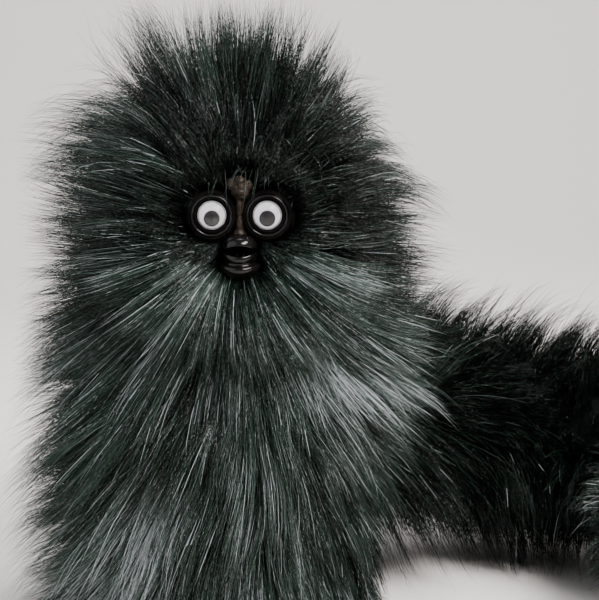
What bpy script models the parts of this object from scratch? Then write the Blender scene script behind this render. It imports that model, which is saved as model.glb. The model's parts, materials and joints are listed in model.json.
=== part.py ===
"""A long-haired fur arm puppet with a small hard face whose mouth moves.

The upright body is a fur sleeve over a carved head block. A hand comes up through the open
cuff, holds a grip on a stem, and its thumb works a lever. The lever lifts a push rod, the rod
lifts the jaw's horn, and the lower jaw drops. A stuffed fur tail leaves the body's back.

Sizes are in millimetres and are turned into metres as each shape is made. +X is to the
viewer's right of a puppet that faces -Y, +Z is up, and the body's own axis is at x = y = 0
until centre_on_base moves everything to stand centred on the origin.
"""

import math

import bmesh
import bpy
from mathutils import Matrix, Vector

MM = 0.001
GAP = 0.3  # between two pieces that touch on the real puppet

# --- driving dimensions ------------------------------------------------------------------
EYE_Z = 225.0  # height of the eyes' line over the table
EYE_X = 14.5  # half the distance between the eyes
EYE_R = 7.5  # a stock 15 mm wiggle eye
CUP_R = 12.8
PUPIL_R = 4.2
PUPIL_DROP = 1.6  # how far below the eye's centre the loose pupil lies
FACE_Y = -50.0  # front of the face plate
PLATE_T = 3.0

CORE_R = 56.0  # carved head block
CORE_Z = 222.0
CORE_FLOOR_Z = 178.0
CORE_CAVITY_R = 33.0
CORE_CAVITY_TOP_Z = 246.0

FUR_R = 105.0  # reach of the pile around the body
FUR_WIDER = 1.05  # the body is this much wider than deep
FUR_TOP_Z = 326.0
SLEEVE_BORE_R = 52.2
SLEEVE_FLOOR_Z = 1.0
CUFF_H = 14.5
CUFF_R = 56.2
LINING_R = 51.6
LINING_TOP_Z = 165.0

LEAN_Z = 60.0  # the wrist, about which the upper body leans on the sleeve
LEAN_R = 132.0  # the two fur shells meet on a sphere of this radius about the wrist
LEAN_CLEARANCE = 1.0
LEAN_SWEEP = 24.0  # how far the head's fur reaches past its own place as it leans back
SLEEVE_FLARE_Z = 163.0  # above this the sleeve's bore widens, to clear the leaning core
SLEEVE_FLARE_R = 70.0

JAW_Y, JAW_Z = -43.0, EYE_Z - 22.0  # jaw hinge
ARM = 24.0  # horn and lever arm, equal, so the jaw turns as far as the lever
ROD_Y = JAW_Y + ARM
STEM_Y = ROD_Y + ARM  # the lever's pin goes through the stem
LEVER_Z = 112.0
STEM_R = 6.0
ROD_R = 1.2
PIN_R = 0.9
SLOT_H, SLOT_L = 2.6, 4.4  # slotted eyes take up the arc of each arm
HORN_W, HORN_H = 2.4, 4.4
HORN_NOSE = 8.0  # how far the horn reaches forward of the jaw's pin
MUZZLE_Z = EYE_Z - 17.0  # underside of the upper muzzle

GUIDE_Z = 163.0
COLLAR_Z = 134.0
TAIL_SIDES = 20
ROUND = 20  # sides of small round pieces
FUR_ROUND = 26

# centre line of the tail, with half its width and half its height at each point
TAIL = [
    ((12, 30, 112), 70, 62),
    ((62, 88, 98), 74, 66),
    ((128, 122, 82), 76, 80),
    ((196, 112, 76), 75, 74),
    ((246, 62, 70), 72, 68),
    ((258, -8, 64), 68, 62),
    ((232, -66, 58), 60, 56),
]
TAIL_JOINTS = (0.45, 0.73)  # where it bends, as fractions of the centre line
TAIL_BORE_R = 44.0
TAIL_SOCKET = 5.0  # clearance of a segment's hollow start round the rounded end before it
TAIL_REST_Z = 0.5
STUFFING_GAP = 2.0
STUFFING_START = 0.19, 0.16  # how far past each bend the next stuffing starts


# --- scene helpers -----------------------------------------------------------------------
def clear_scene():
    for obj in list(bpy.data.objects):
        bpy.data.objects.remove(obj)


def make_collection(name):
    collection = bpy.data.collections.new(name)
    bpy.context.scene.collection.children.link(collection)
    return collection


def make_material(name, colour, roughness, metallic=0.0):
    material = bpy.data.materials.new(name)
    material.use_nodes = True
    shader = material.node_tree.nodes["Principled BSDF"]
    shader.inputs["Base Color"].default_value = (*colour, 1.0)
    shader.inputs["Roughness"].default_value = roughness
    shader.inputs["Metallic"].default_value = metallic
    material.diffuse_color = (*colour, 1.0)
    return material


clear_scene()
PARTS = make_collection("fur_arm_puppet")
CUTTERS = make_collection("cutters")

FUR = make_material("fur_pile", (0.035, 0.045, 0.042), 0.8)
LINING = make_material("lining_cloth", (0.05, 0.05, 0.055), 0.9)
STUFFING = make_material("stuffing", (0.75, 0.74, 0.7), 0.95)
FOAM = make_material("core_foam", (0.12, 0.11, 0.1), 0.9)
BLACK_GLOSS = make_material("black_gloss", (0.012, 0.012, 0.012), 0.15)
BLACK_MATT = make_material("black_matt", (0.02, 0.02, 0.02), 0.6)
BROWN = make_material("brown_brow", (0.09, 0.06, 0.045), 0.55)
WHITE = make_material("eye_white", (0.85, 0.84, 0.87), 0.35)
PUPIL = make_material("pupil_black", (0.03, 0.03, 0.032), 0.3)
CLEAR = make_material("clear_plastic", (0.9, 0.9, 0.9), 0.05)
STEEL = make_material("steel", (0.6, 0.6, 0.6), 0.35, 1.0)
GRIP = make_material("grip_plastic", (0.05, 0.05, 0.05), 0.5)
RUBBER = make_material("rubber", (0.03, 0.03, 0.03), 0.8)


def make_pivot(name, x, y, z, parent):
    """An empty on a joint's axis: the pieces that turn or slide there hang on it."""
    pivot = bpy.data.objects.new(name, None)
    pivot.empty_display_size = 0.01
    PARTS.objects.link(pivot)
    pivot.location = Vector((x, y, z)) * MM
    if parent:
        pivot.location -= world_place(parent)
        pivot.parent = parent
    return pivot


def world_place(obj):
    place = Vector(obj.location)
    return place + world_place(obj.parent) if obj.parent else place


def place(obj, x, y, z, pivot):
    """Puts an object at its place in the puppet and hangs it on its body's pivot."""
    obj.location = Vector((x, y, z)) * MM
    if pivot:
        obj.location -= world_place(pivot)
        obj.parent = pivot
    return obj


def add_mesh(name, bm, centre, pivot=None, material=None, turn=(0, 0, 0), smooth=True):
    """An object from a bmesh in millimetres: a part, or a cutter when it has no material."""
    bmesh.ops.scale(bm, vec=(MM, MM, MM), verts=bm.verts)
    mesh = bpy.data.meshes.new(name)
    bm.to_mesh(mesh)
    bm.free()
    obj = bpy.data.objects.new(name, mesh)
    if material:
        PARTS.objects.link(obj)
        mesh.materials.append(material)
    else:
        CUTTERS.objects.link(obj)
        obj.hide_render = True
        obj.display_type = "WIRE"
        pivot = FRAME
    if smooth and mesh.polygons:
        mesh.shade_smooth()
        mesh.set_sharp_from_angle(angle=math.radians(35))
    obj.rotation_euler = [math.radians(angle) for angle in turn]
    return place(obj, *centre, pivot)


def block(name, size, centre, pivot=None, material=None, turn=(0, 0, 0), bevel=0.0):
    bm = bmesh.new()
    bmesh.ops.create_cube(bm, size=1.0)
    bmesh.ops.scale(bm, vec=size, verts=bm.verts)
    obj = add_mesh(name, bm, centre, pivot, material, turn, smooth=False)
    if bevel:
        round_edges(obj, bevel)
    return obj


def rod(name, radius, length, centre, pivot=None, material=None, turn=(0, 0, 0), top=None):
    """A cylinder along its own Z, or a cone when the top radius differs."""
    bm = bmesh.new()
    bmesh.ops.create_cone(
        bm, cap_ends=True, segments=ROUND if radius > 2 else 16,
        radius1=radius, radius2=radius if top is None else top, depth=length,
    )
    return add_mesh(name, bm, centre, pivot, material, turn)


def ball(name, half, centre, pivot=None, material=None, sides=ROUND):
    bm = bmesh.new()
    bmesh.ops.create_uvsphere(bm, u_segments=sides, v_segments=sides // 2, radius=1.0)
    bmesh.ops.scale(bm, vec=half, verts=bm.verts)
    return add_mesh(name, bm, centre, pivot, material)


def turned(name, profile, centre, pivot=None, material=None, turn=(0, 0, 0), sides=ROUND,
           closed=False, wider=1.0):
    """A profile of (radius, height) points, run down its outer side, swept about its Z."""
    bm = bmesh.new()
    corners = [bm.verts.new((radius, 0.0, height)) for radius, height in profile]
    for first, second in zip(corners, corners[1:]):
        bm.edges.new((first, second))
    if closed:
        bm.edges.new((corners[-1], corners[0]))
    obj = add_mesh(name, bm, centre, pivot, material, turn)
    screw = obj.modifiers.new("turn", "SCREW")
    screw.steps = screw.render_steps = sides
    screw.use_merge_vertices = True
    screw.merge_threshold = 0.00001
    screw.use_smooth_shade = True
    obj.scale.x = wider
    return obj


def round_edges(obj, width, segments=2):
    bevel = obj.modifiers.new("round", "BEVEL")
    bevel.width = width * MM
    bevel.segments = segments
    bevel.limit_method = "ANGLE"
    bevel.angle_limit = math.radians(40)


def boolean(obj, cutter, operation):
    step = obj.modifiers.new(operation.lower(), "BOOLEAN")
    step.operation = operation
    step.object = cutter
    step.solver = "EXACT"
    return obj


def cut(obj, *cutters):
    for cutter in cutters:
        boolean(obj, cutter, "DIFFERENCE")
    return obj


def arc(radius, centre_z, start, end, steps):
    """Profile points on a circle about the axis, by their angle up from level, in degrees."""
    points = []
    for step in range(steps + 1):
        angle = math.radians(start + (end - start) * step / steps)
        points.append((radius * math.cos(angle), centre_z + radius * math.sin(angle)))
    return points


def meeting_arc(radius, inner_r, outer_r, steps=5):
    """Points of the sphere about the wrist, from its outer edge to its inner edge."""
    start = math.degrees(math.acos(outer_r / radius))
    end = math.degrees(math.acos(inner_r / radius))
    return arc(radius, LEAN_Z, start, end, steps)


# --- bodies ------------------------------------------------------------------------------
FRAME = make_pivot("puppet_frame", 0, 0, 0, None)
HEAD = make_pivot("lean_pivot", 0, 0, LEAN_Z, FRAME)
JAW = make_pivot("jaw_pivot", 0, JAW_Y, JAW_Z, HEAD)
ROD = make_pivot("rod_axis", 0, ROD_Y, LEVER_Z, HEAD)
LEVER = make_pivot("lever_pivot", 0, STEM_Y, LEVER_Z, HEAD)


# --- fur sleeve and head fur -------------------------------------------------------------
def upper_outline(grow=0.0):
    rows = [(0, FUR_TOP_Z), (30, 321), (58, 307), (81, 286), (95, 262), (102, 235),
            (FUR_R, 200), (FUR_R, 168)]
    return [(radius + grow if radius else 0, height) for radius, height in rows]


def lower_outline(grow=0.0):
    rows = [(FUR_R - 1, 112), (100, 86), (92, 56), (82, 30), (72, 10), (66, SLEEVE_FLOOR_Z)]
    return [(radius + grow, height) for radius, height in rows]


def make_fur():
    inner = CORE_R + 1.8
    shell = upper_outline() + meeting_arc(LEAN_R + LEAN_CLEARANCE, 46.0, FUR_R)
    shell += arc(inner, CORE_Z, -36.0, 90.0, 9)
    head = turned("head_fur", shell, (0, 0, 0), HEAD, FUR, sides=FUR_ROUND, wider=FUR_WIDER)
    well = rod("face_well", 35, 70, (0, FACE_Y - 30, EYE_Z - 8), turn=(90, 0, 0), top=54)
    cut(head, well)

    bore = [(CUFF_R + 1.4, SLEEVE_FLOOR_Z), (CUFF_R + 1.4, CUFF_H + GAP),
            (SLEEVE_BORE_R, CUFF_H + GAP)]
    bore += [(SLEEVE_BORE_R, SLEEVE_FLARE_Z)]
    rim = list(reversed(meeting_arc(LEAN_R, SLEEVE_FLARE_R, FUR_R)))
    sleeve = rim + lower_outline() + bore
    turned("body_fur", sleeve, (0, 0, 0), FRAME, FUR, sides=FUR_ROUND, closed=True,
           wider=FUR_WIDER)


def make_sleeve_inside():
    lining = [(LINING_R, LINING_TOP_Z), (LINING_R, 4), (LINING_R - 1, 4),
              (LINING_R - 1, LINING_TOP_Z)]
    turned("sleeve_lining", lining, (0, 0, 0), FRAME, LINING, closed=True)
    band = [(CUFF_R - 0.4, CUFF_H), (CUFF_R, CUFF_H - 1), (CUFF_R, 0.8), (CUFF_R - 0.8, 0), (53, 0),
            (52, 0.8), (52, CUFF_H - 1), (52.6, CUFF_H)]
    turned("cuff_band", band, (0, 0, 0), FRAME, LINING, closed=True)


# --- head block and face -----------------------------------------------------------------
def make_head_block():
    start = math.degrees(math.asin((CORE_Z - CORE_FLOOR_Z) / CORE_R))
    shape = arc(CORE_R, CORE_Z, 90.0, -start, 12) + [(0, CORE_FLOOR_Z)]
    core = turned("head_core", shape, (0, 0, 0), HEAD, FOAM)
    front = FACE_Y + PLATE_T + GAP
    flat = block("core_front", (120, 30, 120), (0, front - 15, CORE_Z))
    depth = CORE_CAVITY_TOP_Z - CORE_FLOOR_Z + 10
    cavity = rod("core_cavity", CORE_CAVITY_R, depth, (0, 0, CORE_CAVITY_TOP_Z - depth / 2))
    window = block("core_window", (24, 30, 36), (0, front + 12, JAW_Z - 1))
    cut(core, flat, cavity, window)


def make_face_plate():
    centre = (0, FACE_Y + PLATE_T / 2, EYE_Z - 4)
    plate = rod("face_plate", 1.0, PLATE_T, centre, HEAD, BLACK_MATT, turn=(90, 0, 0))
    plate.data.transform(Matrix.Diagonal((27.5, 27.0, 1.0, 1.0)))
    notch = block("plate_notch", (25, 12, 40), (0, centre[1], JAW_Z - 16))
    cut(plate, notch)
    for side, name in ((-1, "left"), (1, "right")):
        x, z = side * 20.0, EYE_Z - 18.0
        hole = rod(f"face_screw_hole_{name}", 1.6, 20, (x, FACE_Y + 4, z), turn=(90, 0, 0))
        cut(plate, hole)
        cut(bpy.data.objects["head_core"], hole)
        screw = [(0, 1.6), (1.6, 1.4), (2.4, 0.5), (2.4, GAP), (1.3, GAP), (1.3, -11), (0, -13)]
        turned(f"face_screw_{name}", screw, (x, FACE_Y, z), HEAD, STEEL, turn=(90, 0, 0),
               sides=12)


def make_eye(side, name):
    """A stepped cup with a wiggle eye on its floor. Heights are forward of the plate."""
    centre = (side * EYE_X, FACE_Y, EYE_Z)
    aim = {"turn": (90, 0, 0)}
    cup = [(0, 4.4), (8.2, 4.4), (8.2, 3.0), (9.5, 3.0), (10.0, 8.2), (10.5, 8.7),
           (11.0, 8.2), (11.1, 6.6), (11.7, 6.6), (12.0, 7.0), (12.4, 6.6), (CUP_R, 5.2),
           (CUP_R + 0.5, 3.2), (CUP_R + 0.5, GAP), (0, GAP)]
    turned(f"eye_cup_{name}", cup, centre, HEAD, BLACK_GLOSS, **aim)
    back = [(0, 5.5), (EYE_R - 0.2, 5.5), (EYE_R, 5.3), (EYE_R, 4.7), (0, 4.7)]
    turned(f"eye_back_{name}", back, centre, HEAD, WHITE, **aim)
    lens = [(0, 10.2), (2.6, 9.9), (5.0, 8.9), (6.7, 7.4), (EYE_R, 5.8),
            (6.9, 5.8), (6.1, 7.1), (4.6, 8.4), (2.4, 9.3), (0, 9.6)]
    turned(f"eye_lens_{name}", lens, centre, HEAD, CLEAR, **aim)
    pivot = make_pivot(f"pupil_pivot_{name}", *centre, HEAD)
    disc = [(0, 6.9), (PUPIL_R - 0.2, 6.8), (PUPIL_R, 6.6), (PUPIL_R, 6.1), (0, 6.0)]
    low = (centre[0], centre[1], centre[2] - PUPIL_DROP)
    turned(f"pupil_{name}", disc, low, pivot, PUPIL, sides=20, **aim)


def make_brow():
    """The crumpled nub on the forehead and the strip that runs down between the eyes."""
    brow = ball("brow_piece", (6.2, 4.2, 6.6), (0, FACE_Y - 4.6, EYE_Z + 13), HEAD, BROWN, 20)
    brow.data.shade_smooth()
    petals = [(-4.2, 17.0), (0.0, 19.2), (4.2, 17.0)]
    for number, (x, z) in enumerate(petals):
        petal = ball(f"petal_{number}", (3.6, 3.4, 3.4), (x, FACE_Y - 4.9, EYE_Z + z), sides=12)
        boolean(brow, petal, "UNION")
    strip = block("bridge_strip", (2.2, 7.0, 26), (0, FACE_Y - 4.1, EYE_Z + 1))
    boolean(brow, strip, "UNION")


def make_muzzle():
    """The upper muzzle, with its underside flat over the mouth."""
    centre = (0, FACE_Y - 3, MUZZLE_Z - 0.5)
    muzzle = ball("upper_muzzle", (9.0, 14.0, 8.4), centre, HEAD, BLACK_GLOSS)
    under = block("muzzle_under", (40, 60, 20), (0, FACE_Y - 5, MUZZLE_Z - 10))
    behind = block("muzzle_behind", (40, 30, 60), (0, FACE_Y - GAP + 15, MUZZLE_Z))
    left = rod("muzzle_cup_left", CUP_R + 0.9, 40, (-EYE_X, FACE_Y, EYE_Z), turn=(90, 0, 0))
    right = rod("muzzle_cup_right", CUP_R + 0.9, 40, (EYE_X, FACE_Y, EYE_Z), turn=(90, 0, 0))
    bridge = block("muzzle_bridge", (3.0, 9.0, 6.0), (0, FACE_Y - 4.1, EYE_Z - 10.2))
    cut(muzzle, under, behind, left, right, bridge)


def make_jaw():
    """Lower lip, groove and chin in one stepped piece, turned about a post behind the lip."""
    post_y = FACE_Y - 4.0
    lip = EYE_Z - 21.3
    rows = [(0, -4.2), (6.4, -3.4), (7.5, -0.6), (8.3, 0), (9.1, -1.0), (9.2, -2.2),
            (8.7, -4.0), (9.4, -5.2), (10.6, -6.2), (10.9, -7.6), (10.2, -9.4),
            (7.8, -11.6), (4.2, -12.8), (0, -13.2)]
    jaw = turned("lower_jaw", rows, (0, post_y, lip), JAW, BLACK_GLOSS)
    back = block("jaw_back", (40, 20, 60), (0, FACE_Y + 9.0, lip), turn=(-20, 0, 0))
    keyway = block("jaw_keyway", (3.0, 12, 5.0), (0, FACE_Y + 0.6, JAW_Z - 4.6))
    cut(jaw, back, keyway)

    tail_end = ARM + 3.0
    horn = block("jaw_horn", (HORN_W, HORN_NOSE + tail_end, HORN_H),
                 (0, JAW_Y + (tail_end - HORN_NOSE) / 2, JAW_Z), JAW, STEEL)
    root = block("horn_root", (HORN_W, 7.0, 7.0), (0, FACE_Y - 1.6, JAW_Z - 3.6))
    boolean(horn, root, "UNION")
    hole = rod("horn_hole", PIN_R + 0.25, 8, (0, JAW_Y, JAW_Z), turn=(0, 90, 0))
    slot = block("horn_slot", (8, SLOT_L, SLOT_H), (0, ROD_Y, JAW_Z))
    cut(horn, hole, slot)


def make_jaw_bracket():
    """A yoke behind the plate that carries the jaw's pin, and the cloth under the muzzle."""
    front = FACE_Y + PLATE_T + GAP
    yoke = block("jaw_bracket", (16, 10, 11), (0, front + 5.2, JAW_Z + 0.6), HEAD, BLACK_MATT)
    space = block("yoke_space", (HORN_W + 2, 20, 10.6), (0, front + 5.2, JAW_Z - 0.7))
    hole = rod("yoke_hole", PIN_R + 0.05, 20, (0, JAW_Y, JAW_Z), turn=(0, 90, 0))
    cut(yoke, space, hole)
    rod("jaw_pin", PIN_R, 15.6, (0, JAW_Y, JAW_Z), HEAD, STEEL, turn=(0, 90, 0))
    block("mouth_lining", (13, 8, 0.8), (0, FACE_Y - 4.6, MUZZLE_Z - GAP - 0.4), HEAD, LINING)


# --- stem, grip and lever ----------------------------------------------------------------
def make_stem():
    top = CORE_CAVITY_TOP_Z - 3.2 - 2 * GAP
    bottom = 34.0
    rod("stem", STEM_R, top - bottom, (0, STEM_Y, (top + bottom) / 2), HEAD, STEEL)
    flange = rod("stem_flange", 17, 3.2, (0, STEM_Y, CORE_CAVITY_TOP_Z - 1.6 - GAP), HEAD,
                 BLACK_MATT)
    for number in range(3):
        angle = math.radians(90 + 120 * number)
        x, y = 12.5 * math.cos(angle), STEM_Y + 12.5 * math.sin(angle)
        hole = rod(f"flange_hole_{number}", 1.7, 40, (x, y, CORE_CAVITY_TOP_Z))
        cut(flange, hole)
        cut(bpy.data.objects["head_core"], hole)
        under = CORE_CAVITY_TOP_Z - 3.2 - 2 * GAP
        screw = [(0, 14), (1.3, 12), (1.3, 0), (2.8, 0), (2.8, -1.2), (1.8, -2.0), (0, -2.0)]
        turned(f"stem_screw_{number + 1}", screw, (x, y, under), HEAD, STEEL, sides=12)
    hole = rod("lever_pin_hole", PIN_R + 0.65, 30, (0, STEM_Y, LEVER_Z), turn=(0, 90, 0))
    cut(bpy.data.objects["stem"], hole)
    rod("lever_pin", PIN_R + 0.6, 23.4, (0, STEM_Y, LEVER_Z), HEAD, STEEL, turn=(0, 90, 0))


def make_grip():
    bore = STEM_R + GAP
    rows = [(9.5, 98), (12.5, 95.5), (13.8, 90), (12.6, 80), (14.2, 70), (12.8, 60),
            (14.2, 50), (12.8, 40), (14.4, 30), (14.0, 23), (12.4, 20.5),
            (bore, 20.5), (bore, 98)]
    turned("grip", rows, (0, STEM_Y, 0), HEAD, GRIP, closed=True)
    cap = [(0, 30), (bore - 0.4, 30), (bore - 0.4, 20.2), (12.0, 20.2), (12.0, 18.6),
           (10.5, 17), (0, 17)]
    turned("grip_cap", cap, (0, STEM_Y, 0), HEAD, RUBBER)


def make_lever():
    front, back = ROD_Y - 5.0, STEM_Y + 33.0
    start = STEM_Y - 14.0
    frame = block("thumb_lever", (22, back - start, 5.0), (0, (start + back) / 2, LEVER_Z),
                  LEVER, BLACK_MATT, bevel=0.8)
    tongue = block("lever_tongue", (3.0, start + 3 - front, 5.0),
                   (0, (front + start + 3) / 2, LEVER_Z))
    boolean(frame, tongue, "UNION")
    window = block("lever_window", (2 * STEM_R + 1.2, 18, 20), (0, STEM_Y, LEVER_Z))
    hole = rod("lever_hole", PIN_R + 0.75, 40, (0, STEM_Y, LEVER_Z), turn=(0, 90, 0))
    slot = block("lever_slot", (8, SLOT_L, SLOT_H), (0, ROD_Y, LEVER_Z))
    cut(frame, window, hole, slot)
    block("thumb_pad", (18, 16, 1.8), (0, back - 9.5, LEVER_Z + 3.4 + GAP), LEVER, RUBBER,
          bevel=0.6)


def make_push_rod():
    forks = {"lower": (LEVER_Z, 1), "upper": (JAW_Z, -1)}
    ends = []
    for name, (z, way) in forks.items():
        fork = block(f"rod_fork_{name}", (7.6, 6, 12.5), (0, ROD_Y, z + way * 2.2), ROD, STEEL)
        gap = block(f"fork_gap_{name}", (3.8, 20, 10), (0, ROD_Y, z - way * 0.4))
        pin_hole = rod(f"fork_hole_{name}", PIN_R + 0.05, 20, (0, ROD_Y, z), turn=(0, 90, 0))
        cut(fork, gap, pin_hole)
        rod(f"fork_pin_{name}", PIN_R, 7.4, (0, ROD_Y, z), ROD, STEEL, turn=(0, 90, 0))
        ends.append(z + way * (2.2 + 6.25 + GAP))
    low, high = ends
    rod("push_rod", ROD_R, high - low, (0, ROD_Y, (low + high) / 2), ROD, STEEL)
    ring = [(4.2, 2), (4.4, 1.8), (4.4, -1.8), (4.2, -2), (ROD_R + 0.2, -2), (ROD_R + 0.2, 2)]
    turned("spring_collar", ring, (0, ROD_Y, COLLAR_Z), ROD, STEEL, closed=True, sides=16)


def make_rod_guide():
    """A clamp on the stem with a hole that keeps the rod upright."""
    guide = block("rod_guide", (17, 38, 5), (0, STEM_Y - 9.6, GUIDE_Z), HEAD, BLACK_MATT,
                  bevel=1.0)
    round_stem = rod("guide_stem_hole", STEM_R + GAP, 20, (0, STEM_Y, GUIDE_Z))
    round_rod = rod("guide_rod_hole", ROD_R + 0.4, 20, (0, ROD_Y, GUIDE_Z))
    cut(guide, round_stem, round_rod)


def make_spring():
    """The return spring, a coil round the rod between its guide and its collar."""
    low, high = COLLAR_Z + 2.8, GUIDE_Z - 3.3
    turns, per_turn = 6, 9
    curve = bpy.data.curves.new("return_spring", "CURVE")
    curve.dimensions = "3D"
    curve.bevel_depth = 0.35 * MM
    curve.bevel_resolution = 2
    curve.use_fill_caps = True
    spline = curve.splines.new("POLY")
    spline.points.add(turns * per_turn)
    for number, point in enumerate(spline.points):
        angle = 2 * math.pi * number / per_turn
        height = low + (high - low) * number / (turns * per_turn)
        point.co = (3.2 * math.cos(angle) * MM, 3.2 * math.sin(angle) * MM, height * MM, 1)
    spring = bpy.data.objects.new("return_spring", curve)
    curve.materials.append(STEEL)
    PARTS.objects.link(spring)
    place(spring, 0, ROD_Y, 0, HEAD)


# --- tail --------------------------------------------------------------------------------
def blend(values, share):
    """A smooth curve through the values (Catmull-Rom), from share 0 to 1."""
    spot = share * (len(values) - 1)
    index = min(int(spot), len(values) - 2)
    t = spot - index
    before = values[max(index - 1, 0)]
    a, b = values[index], values[index + 1]
    after = values[min(index + 2, len(values) - 1)]
    return 0.5 * (2 * a + (b - before) * t + (2 * before - 5 * a + 4 * b - after) * t ** 2
                  + (3 * a - before - 3 * b + after) * t ** 3)


def tail_at(share):
    """Centre, level heading, half width and half height at a fraction of the tail."""
    centre = Vector([blend([row[0][axis] for row in TAIL], share) for axis in range(3)])
    step = 0.01
    ahead = [blend([row[0][axis] for row in TAIL], min(share + step, 1)) for axis in range(2)]
    behind = [blend([row[0][axis] for row in TAIL], max(share - step, 0)) for axis in range(2)]
    heading = Vector((ahead[0] - behind[0], ahead[1] - behind[1], 0)).normalized()
    return centre, heading, blend([row[1] for row in TAIL], share), blend(
        [row[2] for row in TAIL], share)


def ring(bm, centre, heading, half_width, half_height):
    side = Vector((heading.y, -heading.x, 0))
    corners = []
    for number in range(TAIL_SIDES):
        angle = 2 * math.pi * number / TAIL_SIDES
        point = centre + side * half_width * math.cos(angle)
        point.z = max(point.z + half_height * math.sin(angle), TAIL_REST_Z)
        corners.append(bm.verts.new(point))
    return corners


def loft(bm, rings):
    for first, second in zip(rings, rings[1:]):
        for number in range(TAIL_SIDES):
            following = (number + 1) % TAIL_SIDES
            bm.faces.new((first[number], first[following], second[following], second[number]))
    bm.faces.new(list(reversed(rings[0])))
    bm.faces.new(rings[-1])
    bmesh.ops.recalc_face_normals(bm, faces=bm.faces)


def tail_tube(name, start, end, steps, pivot=None, material=None, radius=None, dome=False):
    """A length of the tail: its fur at full size, or a round tube of the radius given."""
    bm = bmesh.new()
    rings = []
    for step in range(steps + 1):
        centre, heading, width, height = tail_at(start + (end - start) * step / steps)
        if radius:
            width = height = radius
        rings.append(ring(bm, centre, heading, width, height))
    if dome:
        for angle in (25, 48, 68, 82):
            shrink, reach = math.cos(math.radians(angle)), math.sin(math.radians(angle))
            rings.append(ring(bm, centre + heading * width * reach, heading,
                              width * shrink, height * shrink))
    loft(bm, rings)
    home = world_place(pivot) / MM if pivot else Vector((0, 0, 0))
    bmesh.ops.translate(bm, vec=-home, verts=bm.verts)
    return add_mesh(name, bm, home, pivot, material)


def make_tail():
    first, second = TAIL_JOINTS
    base = tail_tube("tail_fur_base", 0.0, first, 9, FRAME, FUR, dome=True)
    swept_r = FUR_R + LEAN_SWEEP
    keep_out = [(0, 380), (swept_r, 360), (swept_r, 200), (swept_r - 6, 150),
                (swept_r - 11, 122)]
    keep_out += lower_outline(grow=1.0) + [(67, -20), (0, -20)]
    clear = turned("tail_keep_out", keep_out, (0, 0, 0), sides=FUR_ROUND, wider=FUR_WIDER)
    cut(base, clear, tail_tube("tail_bore_base", 0.02, first + 0.2, 11, radius=TAIL_BORE_R))
    tail_tube("tail_stuffing_base", 0.235, first + 0.06, 5, FRAME, STUFFING,
              radius=TAIL_BORE_R - STUFFING_GAP)

    pivots = []
    parent = FRAME
    for number, share in enumerate(TAIL_JOINTS):
        centre = tail_at(share)[0]
        parent = make_pivot(f"tail_pivot_{number + 1}", *centre, parent)
        pivots.append(parent)

    middle = tail_tube("tail_fur_middle", first, second, 7, pivots[0], FUR, dome=True)
    cut(middle, tail_socket(first, "middle"))
    cut(middle, tail_tube("tail_bore_middle", first - 0.03, second + 0.3, 11,
                          radius=TAIL_BORE_R))
    after_first, after_second = STUFFING_START
    tail_tube("tail_stuffing_middle", first + after_first, second + 0.06, 4, pivots[0], STUFFING,
              radius=TAIL_BORE_R - STUFFING_GAP)

    tip = tail_tube("tail_fur_tip", second, 1.0, 6, pivots[1], FUR, dome=True)
    cut(tip, tail_socket(second, "tip"))
    cut(tip, tail_tube("tail_bore_tip", second - 0.03, 0.98, 6, radius=TAIL_BORE_R - 6))
    tail_tube("tail_stuffing_tip", second + after_second, 0.972, 3, pivots[1], STUFFING,
              radius=TAIL_BORE_R - 6 - STUFFING_GAP)


def tail_socket(share, name):
    centre, _, width, height = tail_at(share)
    half = (width + TAIL_SOCKET, width + TAIL_SOCKET, height + TAIL_SOCKET)
    return ball(f"tail_socket_{name}", half, centre)


# --- all together ------------------------------------------------------------------------
def centre_on_base():
    """Moves the whole puppet so that the middle of its footprint is the origin."""
    bpy.context.view_layer.update()
    graph = bpy.context.evaluated_depsgraph_get()
    low = Vector((1e9, 1e9, 1e9))
    high = -low
    for obj in PARTS.objects:
        if obj.type == "EMPTY":
            continue
        shape = obj.evaluated_get(graph).to_mesh()
        for corner in shape.vertices:
            spot = obj.matrix_world @ corner.co
            low = Vector(map(min, low, spot))
            high = Vector(map(max, high, spot))
        obj.evaluated_get(graph).to_mesh_clear()
    FRAME.location = (-(low.x + high.x) / 2, -(low.y + high.y) / 2, -low.z)
    bpy.context.view_layer.update()


make_fur()
make_sleeve_inside()
make_head_block()
make_face_plate()
make_eye(-1, "left")
make_eye(1, "right")
make_brow()
make_muzzle()
make_jaw()
make_jaw_bracket()
make_stem()
make_grip()
make_lever()
make_push_rod()
make_rod_guide()
make_spring()
make_tail()
centre_on_base()
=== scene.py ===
"""Looks for the fur arm puppet: its long pile, its glossy face and its lever work.

Lengths are in metres, in the frame of the CAD model. Everything is placed from the CAD
boxes. The pile is real geometry: closed tapered hairs, gathered in locks.
"""

import json
import math

import bmesh
import bpy
import numpy as np
from mathutils import Matrix, Vector, noise


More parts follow.
